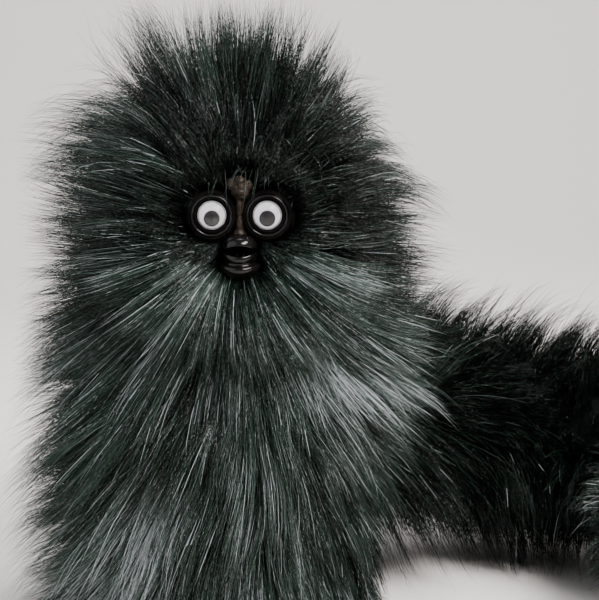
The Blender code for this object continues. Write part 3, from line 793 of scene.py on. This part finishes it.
def body_locks(count, random):
    """Guide hairs of the body: roots, normals, combing direction, lift and length."""
    place, normal = body_roots(count, random)
    near = face_distance(place)
    keep = near > WINDOW[1] + 0.0003
    place, normal, near = place[keep], normal[keep], near[keep]
    chest = breast(place, normal)
    source = np.array((AXIS.x + 0.004, FACE_Y - 0.012, WINDOW_Z))
    away = place - source
    away -= (away * normal).sum(1, keepdims=True) * normal
    away = unit(away)
    front = np.clip(-normal[:, 1], 0, 1)
    lift = 0.24 + 0.66 * smoothstep(near, 0.028, 0.105) * (1 - 0.5 * front)
    lift -= 0.12 * chest
    crown = smoothstep(normal[:, 2], 0.7, 0.95)
    lift = np.maximum(lift, 0.98 * crown)
    low = smoothstep(0.15 - place[:, 2], 0.0, 0.09)
    flat = smoothstep(normal[:, 0], 0.1, 0.75) * low
    lift *= 1 - 0.66 * flat
    down = np.array((0.0, 0.0, -1.0))
    away = unit(away + down * (0.9 * low + 1.4 * flat)[:, None])
    length = PILE_LENGTH * (0.45 + 0.55 * smoothstep(near, 0.027, 0.052))
    left = smoothstep(-normal[:, 0], 0.1, 0.7)
    length *= (1 + 0.22 * chest) * (1 - 0.30 * flat) * (1 + 0.52 * left) * (1 + 0.30 * crown)
    length *= 1 + 0.12 * wander(place, 0.016, 5)
    length *= random.uniform(0.72, 1.12, len(place))
    shoulder = smoothstep(normal[:, 2], 0.1, 0.45) * (1 - smoothstep(normal[:, 2], 0.86, 0.97))
    droop = 0.24 + 0.65 * shoulder * np.abs(normal[:, 0]) - 0.2 * crown
    return place, normal, away, lift, length, droop


def grow(place, normal, comb, lift, length, droop, spread, random, segments=GUARD_SEGMENTS):
    """Hair paths: they leave the skin along the lift and lie over towards the comb."""
    count = len(place)
    paths = np.zeros((count, segments + 1, 3))
    paths[:, 0] = place
    swing = random.normal(size=(count, 3)) * np.asarray(spread).reshape(-1, 1)
    aside = np.cross(normal, comb) * (CURL * wander(place, 0.011, 31))[:, None]
    swing += 0.5 * np.cross(normal, comb) * (CURL * wander(place, 0.019, 32))[:, None]
    here = place.copy()
    for step in range(segments):
        t = (step + 0.5) / segments
        over = (1 - lift)[:, None] * (0.55 + 0.9 * t)
        aim = normal * (lift + 0.22 * (1 - t))[:, None] + comb * over
        aim = unit(aim) + swing * (0.4 + 0.6 * t) + aside * t * t
        aim[:, 2] -= droop * t * t * 1.6
        here = here + unit(aim) * (length / segments)[:, None]
        paths[:, step + 1] = here
    return paths


def gather_guides(guides, tufts, strength, random):
    """Draws the guides' ends towards the nearest of a few leading guides, to form tufts.

    The strength is one number, or one for each guide.
    """
    leaders = random.choice(len(guides), size=tufts, replace=False)
    roots, lead_roots = guides[:, 0], guides[leaders, 0]
    nearest = np.zeros(len(guides), dtype=int)
    for block in np.array_split(np.arange(len(guides)), 16):
        gaps = ((roots[block, None] - lead_roots[None]) ** 2).sum(-1)
        nearest[block] = gaps.argmin(1)
    hold = strength * random.uniform(0.5, 1.0, tufts)[nearest]
    t = np.linspace(0, 1, guides.shape[1])
    pull = hold[:, None] * t[None] ** 1.6
    return guides + (guides[leaders][nearest] - guides) * pull[..., None]


def trim_paths(paths, share, segments):
    """The same paths cut back to a share of their length, in so many segments."""
    count, points, _ = paths.shape
    spots = np.linspace(0, 1, segments + 1)[None] * share[:, None] * (points - 1)
    index = np.minimum(spots.astype(int), points - 2)
    t = (spots - index)[..., None]
    rows = np.arange(count)[:, None]
    return paths[rows, index] * (1 - t) + paths[rows, index + 1] * t


def keep_inside(paths, random):
    """Shortens the hairs whose tips would stand too far outside the model's box."""
    low = np.array(CAD_LOW) - STAND_PROUD
    high = np.array(CAD_HIGH) + STAND_PROUD
    low[2] = -1.0  # hairs that reach the floor bend along it instead
    uneven = random.uniform(0.80, 1.0, len(paths))
    for _ in range(3):
        root, tip = paths[:, 0], paths[:, -1]
        limit = np.where(tip > root, high, low)
        run = np.where(np.abs(tip - root) < 1e-6, 1e-6, tip - root)
        room = ((limit - root) / run).min(axis=1)
        share = np.where(room < 1, np.clip(room * uneven, 0.2, 1.0), 1.0)
        paths = trim_paths(paths, share, paths.shape[1] - 1)
        uneven = np.ones(len(paths))
    return paths


def scatter(normal, per_lock, width, random):
    """Level steps away from each guide's root, for the hairs of its lock."""
    normals = np.repeat(normal, per_lock, axis=0)
    offset = random.normal(size=normals.shape)
    offset -= (offset * normals).sum(1, keepdims=True) * normals
    return unit(offset) * (width * np.sqrt(random.random(len(normals))))[:, None]


def guard_hairs(locks, per_lock, width, fray, random):
    """Long glossy hairs: most hold to their lock, some stray from it."""
    guides, normal, length, tone = locks
    total = len(guides) * per_lock
    t = np.linspace(0, 1, guides.shape[1])
    stray = random.random(total) < STRAY_SHARE
    hold = np.where(stray, 0.1, random.uniform(0.6, 0.94, total))
    shape = 1 - hold[:, None] * t[None] ** 1.1
    offset = scatter(normal, per_lock, width, random)
    paths = np.repeat(guides, per_lock, axis=0) + offset[:, None, :] * shape[:, :, None]
    loose = unit(random.normal(size=(total, 3)))
    loose *= (np.where(stray, 2.4, 0.75) * fray * np.repeat(length, per_lock))[:, None]
    paths += loose[:, None, :] * (t ** 1.7)[None, :, None]
    share = 0.42 + 0.58 * random.random(total) ** 1.25
    paths = keep_inside(trim_paths(paths, share, guides.shape[1] - 1), random)
    tones = np.repeat(tone, per_lock) + random.normal(size=total) * 0.75 + 0.3
    tones += 1.6 * (random.random(total) < 0.06)
    return paths, tones, random.uniform(*GUARD_R, total)


def undercoat(locks, per_lock, width, random):
    """Short dark hairs that close the pile near the skin."""
    guides, normal, _, tone = locks
    total = len(guides) * per_lock
    offset = scatter(normal, per_lock, width, random)
    paths = np.repeat(guides, per_lock, axis=0) + offset[:, None, :]
    share = random.uniform(0.26, 0.62, total)
    paths = keep_inside(trim_paths(paths, share, UNDERCOAT_SEGMENTS), random)
    tones = np.repeat(tone, per_lock) + random.normal(size=total) * 0.3 - 0.6
    return paths, tones, random.uniform(*UNDERCOAT_R, total)


def hair_mesh(name, paths, tones, thick, random):
    """Closed three-sided hairs that taper to a point, coloured by tone and by part, with painted
    glints on some segments.
    """
    count, points, _ = paths.shape
    paths = paths.copy()
    floor = FLOOR_CLEAR + random.random((count, 1)) * 0.003
    paths[..., 2] = np.maximum(paths[..., 2], floor)
    along = unit(np.gradient(paths, axis=1))
    across = unit(np.cross(along, unit(random.normal(size=(count, 1, 3)))))
    up = np.cross(along, across)
    t = np.linspace(0, 1, points)
    taper = np.interp(t, [0, 0.15, 0.55, 0.85, 1], [0.8, 1.0, 0.85, 0.45, 0.05])
    radius = thick[:, None] * taper[None]
    corners = []
    for number in range(3):
        angle = 2 * math.pi * number / 3
        corners.append(across * math.cos(angle) + up * math.sin(angle))
    ring = np.stack(corners, 2)[:, :-1]
    body = paths[:, :-1, None, :] + ring * radius[:, :-1, None, None]
    verts = np.concatenate([body.reshape(count, -1, 3), paths[:, -1:, :]], axis=1)
    quads, tris, quad_part, tri_part = hair_faces(count, points)
    bins = np.clip(np.round(tones).astype(int), 0, len(TONES) - 1)
    # Painted glints: on some hairs one middle segment takes a tone two steps brighter, a
    # highlight painted into the colour.
    glint = random.random((count, 1)) < PAINTED_GLINT_SHARE
    painted_glint_part = random.integers(1, points - 2, (count, 1)) if points > 4 else NO_PART
    lit = glint & (quad_part[None] == painted_glint_part)
    quad_bins = np.minimum(bins[:, None] + 2 * lit, len(TONES) - 1)
    quad_mat = quad_bins * len(ALONG) + np.minimum(quad_part, 1)[None]
    tri_mat = bins[:, None] * len(ALONG) + tri_part[None]
    return build_mesh(name, verts.reshape(-1, 3), quads, tris, quad_mat.ravel(), tri_mat.ravel())


def hair_faces(count, points):
    """The faces of every hair, and which part of the hair each face of one hair is on."""
    rings = points - 1
    per = rings * 3 + 1
    quads, quad_part = [], []
    for level in range(rings - 1):
        for number in range(3):
            following = (number + 1) % 3
            quads.append([level * 3 + number, level * 3 + following,
                          level * 3 + 3 + following, level * 3 + 3 + number])
            quad_part.append(level)
    last = (rings - 1) * 3
    tris = [[last, last + 1, per - 1], [last + 1, last + 2, per - 1],
            [last + 2, last, per - 1], [2, 1, 0]]
    base = (np.arange(count) * per)[:, None, None]
    quads = (np.array(quads)[None] + base).reshape(-1, 4)
    tris = (np.array(tris)[None] + base).reshape(-1, 3)
    return quads, tris, np.array(quad_part), np.array([2, 2, 2, 0])


def build_mesh(name, verts, quads, tris, quad_mat, tri_mat):
    mesh = bpy.data.meshes.new(name)
    mesh.vertices.add(len(verts))
    mesh.vertices.foreach_set("co", verts.astype(np.float32).ravel())
    loops = np.concatenate([quads.ravel(), tris.ravel()]).astype(np.int32)
    mesh.loops.add(len(loops))
    mesh.loops.foreach_set("vertex_index", loops)
    starts = np.concatenate([np.arange(len(quads)) * 4,
                             len(quads) * 4 + np.arange(len(tris)) * 3]).astype(np.int32)
    mesh.polygons.add(len(starts))
    mesh.polygons.foreach_set("loop_start", starts)
    mesh.update(calc_edges=True)
    for material in HAIR:
        mesh.materials.append(material)
    mesh.polygons.foreach_set("material_index",
                              np.concatenate([quad_mat, tri_mat]).astype(np.int32))
    mesh.shade_smooth()
    return mesh


def hair_pieces(name, hairs, random, finish):
    """Splits the hairs into pieces of a workable size and hands each to finish."""
    paths, tones, thick = hairs
    turn = np.arctan2(paths[:, 0, 1] - AXIS.y, paths[:, 0, 0] - AXIS.x)
    order = np.argsort(turn)
    pieces = max(1, math.ceil(len(order) / HAIRS_PER_PIECE))
    for number, rows in enumerate(np.array_split(order, pieces)):
        mesh = hair_mesh(f"{name}_{number + 1:02d}", paths[rows], tones[rows], thick[rows],
                         random)
        obj = bpy.data.objects.new(mesh.name, mesh)
        bpy.context.scene.collection.objects.link(obj)
        finish(obj)


def make_stuffing():
    """Fibre filling of the tail, lumpy, one piece for each part of the tail."""
    rows = [("base", 0.235, 0.51, "sleeve"), ("middle", 0.64, 0.79, "tail_middle"),
            ("tip", 0.885, 0.972, "tail_tip")]
    steps, sides = 40, 40
    for part, start, end, body in rows:
        shares = np.linspace(start, end, steps)
        centre, _, side = tail_frame(shares)
        swell = np.sqrt(np.clip(1 - np.abs(np.linspace(-1, 1, steps)) ** 6, 0.02, 1))
        radii = (tail_skin_radius(shares) - 0.004) * swell
        bm = bmesh.new()
        rings = []
        for place, radius, across in zip(centre, radii, side):
            ring = []
            for number in range(sides):
                angle = 2 * math.pi * number / sides
                point = Vector(place + across * radius * math.cos(angle))
                point.z += radius * math.sin(angle)
                lump = 1 - 0.06 * abs(noise.noise(point * 90))
                ring.append(bm.verts.new(Vector(place).lerp(point, lump)))
            rings.append(ring)
        skin_faces(bm, rings)
        bm.faces.new(rings[0])
        bm.faces.new(rings[-1])
        mesh = finish_mesh("filling_" + part, bm)
        link("filling_" + part, mesh, STUFFING, body, ["tail_stuffing_" + part])


def ride_head(obj):
    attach(obj, "head")


def lean_with_body(obj):
    """Bakes the piece's placing into its mesh; it is not parented to the sleeve or the head."""
    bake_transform(obj)


def body_tones(place, normal, random):
    """Silver bands down the breast, partly the hair's own silver and partly painted sheen;
    green-black at the sides; painted shade darkest over the brow.
    """
    chest = breast(place, normal)
    angle = np.degrees(np.arctan2(place[:, 0] - AXIS.x, CHIN_Z + 0.01 - place[:, 2]))
    drop = np.hypot(place[:, 0] - AXIS.x, CHIN_Z - place[:, 2])
    # The breast is lighter overall and in bands: partly the hair's own silver, partly painted
    # sheen of the lit breast.
    tone = 0.55 + 0.85 * wander(place, 0.009, 9) + 0.45 * chest
    for middle, width, strength, start in BANDS:
        band = np.exp(-((angle - middle) / width) ** 2) * smoothstep(drop, start - 0.02, start)
        tone += chest * strength * band
    # Painted shade: the hairs that rise over the brow stand in the shadow above the face, so
    # their tone is lowered.
    brow = smoothstep(place[:, 2], EYE_Z + 0.005, EYE_Z + 0.02) * np.clip(-normal[:, 1], 0, 1)
    tone -= 0.7 * brow
    upper = smoothstep(place[:, 2], EYE_Z - 0.05, EYE_Z + 0.03)
    tone += 1.0 * upper * np.clip(-normal[:, 0], 0, 1)
    return tone + random.normal(size=len(place)) * 0.45


def make_body_fur():
    random = np.random.default_rng(SEED)
    place, normal, comb, lift, length, droop = body_locks(7600, random)
    chest = breast(place, normal)
    spread = 0.20 - 0.12 * chest
    guides = grow(place, normal, comb, lift, length, droop, spread, random)
    guides = gather_guides(guides, 760, 0.95 - 0.25 * chest, random)
    locks = guides, normal, length, body_tones(place, normal, random)
    hairs = guard_hairs(locks, 8, 0.0036, 0.055, random)
    hair_pieces("body_pile", hairs, random, lean_with_body)
    hairs = undercoat(locks, 9, 0.0040, random)
    hair_pieces("body_undercoat", hairs, random, lean_with_body)


def make_forelock():
    """A few long pale hairs that have fallen forward over the brow."""
    random = np.random.default_rng(SEED + 3)
    count = 76
    angle = np.radians(random.uniform(-108, -38, count))
    height = random.uniform(0.026, 0.050, count)
    level = np.sqrt(SKIN_R ** 2 - height ** 2)
    out = np.stack([level * np.cos(angle), level * np.sin(angle), height], 1)
    place = out + np.array((AXIS.x, AXIS.y, TOP_CENTRE_Z))
    down = unit(np.stack([random.normal(size=count) * 0.5, np.full(count, -0.1),
                          np.full(count, -1.0)], 1))
    length = random.uniform(0.016, 0.030, count)
    lift = random.uniform(0.12, 0.40, count)
    guides = grow(place, unit(out), down, lift, length, 0.9, 0.12, random, 9)
    tone = random.uniform(1.6, 3.6, count)
    thick = random.uniform(0.00008, 0.00013, count)
    hair_pieces("forelock", (guides, tone, thick), random, ride_head)


def make_beard():
    """Long straight locks that start right under the chin, silver between black gaps; the silver
    is partly the hair's own and partly painted sheen.
    """
    random = np.random.default_rng(SEED + 4)
    count = 1000
    turn = np.radians(random.uniform(-160, -20, count))
    reach = random.uniform(0.98, 1.30, count)
    x = WINDOW[0] * reach * np.cos(turn)
    z = WINDOW[1] * reach * np.sin(turn)
    depth = np.sqrt(SKIN_R ** 2 - x ** 2)
    place = np.stack([AXIS.x + x, AXIS.y - depth, WINDOW_Z + z], 1)
    normal = unit(np.stack([x, -depth, np.zeros(count)], 1))
    comb = np.stack([1.1 * x, np.zeros(count), z - 0.004], 1)
    comb = unit(comb - (comb * normal).sum(1, keepdims=True) * normal)
    length = random.uniform(0.046, 0.074, count)
    lift = random.uniform(0.20, 0.42, count)
    guides = grow(place, normal, comb, lift, length, 0.12, 0.05, random)
    guides = gather_guides(guides, 110, 0.55, random)
    # Silver stripes, partly hair colour and partly painted sheen, stronger towards the sides.
    stripe = wander(place, 0.0028, 13)
    sides = np.abs(np.cos(turn))
    tone = 0.7 + (1.0 + 0.8 * sides) * smoothstep(stripe, -0.5, 0.9)
    hairs = guard_hairs((guides, normal, length, tone), 9, 0.0018, 0.03, random)
    hair_pieces("beard", hairs, random, ride_head)


# half widths of the nub, strip, nose and chin by height over the eyes, in millimetres
HARD_LEVELS = [-35.0, -33.5, -29.0, -22.0, -18.0, -9.0, -7.5, 6.0, 10.0, 21.0, 22.5]
HARD_WIDTHS = [0.0, 6.5, 11.2, 11.2, 10.0, 9.6, 4.4, 3.4, 7.8, 7.2, 0.0]


CUP_CLEAR = 0.0138


def make_rim_fur():
    """Short hairs rooted round the hard face parts, so that no plate shows between them."""
    random = np.random.default_rng(SEED + 2)
    count = 5200
    angle = random.uniform(0, 2 * math.pi, count)
    reach = 0.0300 * np.sqrt(random.random(count))
    x, z = reach * np.cos(angle), reach * np.sin(angle) + WINDOW_Z
    free = np.ones(count, dtype=bool)
    for eye in EYES.values():
        free &= np.hypot(x + AXIS.x - eye.x, z - eye.z) > CUP_CLEAR
    hard = np.interp((z - EYE_Z) * 1000, HARD_LEVELS, HARD_WIDTHS) / 1000
    free &= np.abs(x) > hard
    x, z = x[free], z[free]
    place = np.stack([x + AXIS.x, np.full(len(x), FACE_Y - 0.0004), z], 1)
    normal = np.tile((0.0, -1.0, 0.0), (len(x), 1))
    comb = unit(np.stack([x, np.full(len(x), 0.002), z - WINDOW_Z + 0.002], 1))
    length = 0.010 + 0.6 * np.hypot(x, z - WINDOW_Z)
    lift = np.full(len(x), 0.30)
    guides = grow(place, normal, comb, lift, length, 0.1, 0.16, random)
    # Painted shade: the short hairs round the face are dark above the mouth, where the cups and
    # plate shade them; below it they are lighter, partly the breast's silver and partly painted
    # sheen.
    below = smoothstep(WINDOW_Z - z, -0.005, 0.012)
    tone = -0.2 + 1.0 * below + random.normal(size=len(x)) * 0.3
    locks = guides, normal, length, tone
    hair_pieces("rim_pile", guard_hairs(locks, 2, 0.0016, 0.05, random), random, ride_head)
    hair_pieces("rim_undercoat", undercoat(locks, 8, 0.0018, random), random, ride_head)


def tail_roots(count, start, end, random):
    shares = random.uniform(start, end, count)
    centre, heading, side = tail_frame(shares)
    angle = random.uniform(0, 2 * math.pi, count)
    normal = side * np.cos(angle)[:, None]
    normal[:, 2] += np.sin(angle)
    place = centre + normal * tail_skin_radius(shares)[:, None]
    place[:, 2] = np.maximum(place[:, 2], 0.006)
    return place, normal, heading, shares


def tip_roots(count, random):
    """Roots over the rounded end of the tail."""
    centre, heading, _ = (row[0] for row in tail_frame(np.array([1.0])))
    aim = unit(random.normal(size=(count, 3)))
    ahead = (aim @ heading)[:, None]
    aim = np.where(ahead < 0, aim - 2 * ahead * heading, aim)
    place = centre + aim * tail_skin_radius(1.0)
    return place, aim, np.repeat(heading[None], count, 0), np.ones(count)


def outside_body(place):
    level = np.hypot(place[:, 0] - AXIS.x, place[:, 1] - AXIS.y)
    return level > SKIN_R + 0.008


def grow_tail(name, roots, finish, random):
    keep = outside_body(roots[0])
    place, normal, heading, shares = (row[keep] for row in roots)
    lift = 0.66 + 0.12 * wander(place, 0.03, 3)
    lift *= np.interp(shares, [0.0, 0.6, 1.0], [1.0, 0.85, 0.6])
    length = np.interp(shares, [0.0, 0.4, 0.6, 1.0], [0.060, 0.058, 0.046, 0.036])
    length *= random.uniform(0.74, 1.12, len(place)) * (1 + 0.12 * wander(place, 0.018, 4))
    under = smoothstep(-normal[:, 2], -0.3, 0.4) * smoothstep(-normal[:, 1], -0.2, 0.5)
    length *= 1 + 0.35 * under
    comb = unit(heading + under[:, None] * np.array((0.0, -1.3, -0.5)))
    guides = grow(place, normal, comb, lift, length, 0.26 + 0.4 * under, 0.2, random)
    guides = gather_guides(guides, len(guides) // 8, 0.75, random)
    tone = -0.1 + 0.5 * wander(place, 0.014, 8) + random.normal(size=len(place)) * 0.4
    # Painted sheen: the end of the tail is lighter, for the green-grey sheen where it catches the
    # light.
    tone += 0.7 * smoothstep(shares, 0.8, 1.0)
    locks = guides, normal, length, tone
    hair_pieces(name, guard_hairs(locks, 6, 0.0036, 0.06, random), random, finish)
    hair_pieces(name + "_undercoat", undercoat(locks, 8, 0.0040, random), random, finish)


TAIL_MIDDLE_SHARE = sum(TAIL_BEND_SHARES) / 2


def bend_at(obj, share):
    heading = Vector(tail_frame(np.array([share]))[1][0])
    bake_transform(obj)


def bend_first(obj):
    bend_at(obj, TAIL_BEND_SHARES[0])


def bend_second(obj):
    bend_at(obj, TAIL_BEND_SHARES[1])


def make_tail_fur():
    random = np.random.default_rng(SEED + 1)
    grow_tail("tail_pile_root", tail_roots(2700, 0.05, TAIL_MIDDLE_SHARE, random), bend_first,
              random)
    sides = tail_roots(1500, TAIL_MIDDLE_SHARE, 1.0, random)
    end = tip_roots(260, random)
    roots = [np.concatenate(pair) for pair in zip(sides, end)]
    grow_tail("tail_pile_end", roots, bend_second, random)


def make_skins():
    first = make_tail_skin("fur_backing_tail", 0.12, TAIL_MIDDLE_SHARE, False)
    second = make_tail_skin("fur_backing_tail_end", TAIL_MIDDLE_SHARE, 1.0, True)
    rows = [("fur_backing_body", make_body_skin(), ["body_fur", "head_fur"], lean_with_body),
            ("fur_backing_tail", first, ["tail_fur_base", "tail_fur_middle"], bend_first),
            ("fur_backing_tail_end", second, ["tail_fur_tip"], bend_second)]
    for name, mesh, nodes, follow in rows:
        follow(link(name, mesh, BACKING_AND_SHADE, replaces=nodes))


# --- carried-over CAD pieces -------------------------------------------------------------
SPRING_WIRE_R = 0.00035
SPRING_TURNS = 6


def make_spring():
    """The return spring, a round-wire coil under its guide."""
    low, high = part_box("return_spring")
    centre = (low + high) / 2
    radius = (high.x - low.x) / 2 - SPRING_WIRE_R
    bottom, top = low.z + SPRING_WIRE_R, high.z - SPRING_WIRE_R
    per_turn, sides = 24, 10
    steps = SPRING_TURNS * per_turn
    bm = bmesh.new()
    rings = []
    for step in range(steps + 1):
        angle = 2 * math.pi * step / per_turn
        out = Vector((math.cos(angle), math.sin(angle), 0))
        spot = Vector((centre.x, centre.y, bottom + (top - bottom) * step / steps))
        spot += out * radius
        ring = []
        for side in range(sides):
            turn = 2 * math.pi * side / sides
            offset = out * math.cos(turn) + Vector((0, 0, 1)) * math.sin(turn)
            ring.append(bm.verts.new(spot + offset * SPRING_WIRE_R))
        rings.append(ring)
    skin_faces(bm, rings)
    bm.faces.new(rings[0])
    bm.faces.new(rings[-1])
    mesh = finish_mesh("return_coil", bm)
    coil = link("return_coil", mesh, STEEL, "head", ["return_spring"])
    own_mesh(coil)


KEPT = {
    "lining_cloth": CLOTH, "stuffing": STUFFING, "core_foam": FOAM, "black_matt": MATT,
    "steel": STEEL, "grip_plastic": MATT, "rubber": MATT,
}
# Painted shade: the plate, the jaw's bracket and horn, the screws and the mouth's lining sit in
# shade behind the face's hard parts and in the mouth, so they are given near-black materials.
PAINTED_SHADE_PARTS = {
    "face_plate": BACKING_AND_SHADE, "jaw_bracket": BACKING_AND_SHADE, "jaw_horn": BACKING_AND_SHADE,
    "mouth_lining": MOUTH_SHADE_CLOTH, "face_screw_left": BACKING_AND_SHADE, "face_screw_right": BACKING_AND_SHADE,
}


def dress_cad():
    """Gives each CAD node that stays its finished material."""
    for entry in frame["record"]["subparts"]:
        material = PAINTED_SHADE_PARTS.get(entry["node"], KEPT.get(entry["material_slot"]))
        if not material:
            continue
        mesh = frame["nodes"][entry["node"]]
        for slot in mesh.material_slots:
            slot.material = material


# --- stage, light and camera -------------------------------------------------------------
CAMERA_DISTANCE = 0.95
CAMERA_ELEVATION = math.radians(7)
VIEW_WIDTH = 0.315  # what the picture spans at the face
FACE_RIGHT = 0.0313  # how far the picture's middle lies right of the face, and below it
FACE_BELOW = 0.0445


def make_camera():
    data = bpy.data.cameras.new("camera")
    data.sensor_width = 36.0
    data.lens = data.sensor_width * CAMERA_DISTANCE / VIEW_WIDTH
    data.clip_end = 20
    camera = bpy.data.objects.new("camera", data)
    bpy.context.scene.collection.objects.link(camera)
    target = Vector((FACE.x + FACE_RIGHT, FACE_Y - 0.006, EYE_Z - FACE_BELOW))
    back = Vector((0, -math.cos(CAMERA_ELEVATION), math.sin(CAMERA_ELEVATION)))
    camera.location = target + back * CAMERA_DISTANCE
    camera.rotation_euler = (-back).to_track_quat("-Z", "Y").to_euler()
    bpy.context.scene.camera = camera


def area_light(name, place, target, size, power, colour=(1, 1, 1)):
    data = bpy.data.lights.new(name, "AREA")
    data.shape = "DISK"
    data.size = size
    data.energy = power
    data.color = colour
    light = bpy.data.objects.new(name, data)
    bpy.context.scene.collection.objects.link(light)
    light.location = place
    light.rotation_euler = (Vector(target) - Vector(place)).to_track_quat("-Z", "Y").to_euler()


def make_stage():
    """A pale floor that curves up into a backdrop, far behind."""
    bm = bmesh.new()
    back, radius = 2.2, 0.9
    rows = [(-3.0, 0.0), (back - radius, 0.0)]
    for step in range(1, 17):
        angle = math.pi / 2 * step / 16
        rows.append((back - radius + radius * math.sin(angle), radius - radius * math.cos(angle)))
    rows.append((back, 4.0))
    strips = []
    for y, z in rows:
        strips.append([bm.verts.new((x, y, z)) for x in (-4.0, 4.0)])
    for first, second in zip(strips, strips[1:]):
        bm.faces.new((first[0], first[1], second[1], second[0]))
    mesh = finish_mesh("backdrop", bm, outward=False)
    floor = link("backdrop", mesh, principled("backdrop_paper", (0.66, 0.625, 0.60), 0.9))


def make_lights():
    """A soft studio: a key from the upper right, a weak fill, and light on the backdrop."""
    world = bpy.data.worlds.new("world")
    world.use_nodes = True
    world.node_tree.nodes["Background"].inputs[0].default_value = (0.95, 0.96, 1.0, 1)
    world.node_tree.nodes["Background"].inputs[1].default_value = 0.38
    bpy.context.scene.world = world
    aim = (FACE.x, FACE_Y, 0.18)
    area_light("key", (0.42, -0.82, 0.98), aim, 0.56, 33, (1.0, 0.98, 0.96))
    area_light("glint", (0.41, -0.33, 0.91), aim, 0.3, 9)
    area_light("fill", (-1.1, -0.7, 0.7), aim, 1.8, 13, (0.94, 0.97, 1.0))
    area_light("rim", (0.5, 1.0, 0.9), aim, 0.6, 12)
    area_light("backdrop_light", (0.0, 0.6, 2.4), (0.0, 2.0, 0.4), 1.6, 75)


make_camera()
make_stage()
make_lights()
make_spring()
dress_cad()
make_skins()
make_sleeve_cloth()
make_stuffing()
for eye_side in ("left", "right"):
    make_eye(eye_side)
make_muzzle()
make_chin()
make_brow()
make_body_fur()
make_forelock()
make_beard()
make_rim_fur()
make_tail_fur()
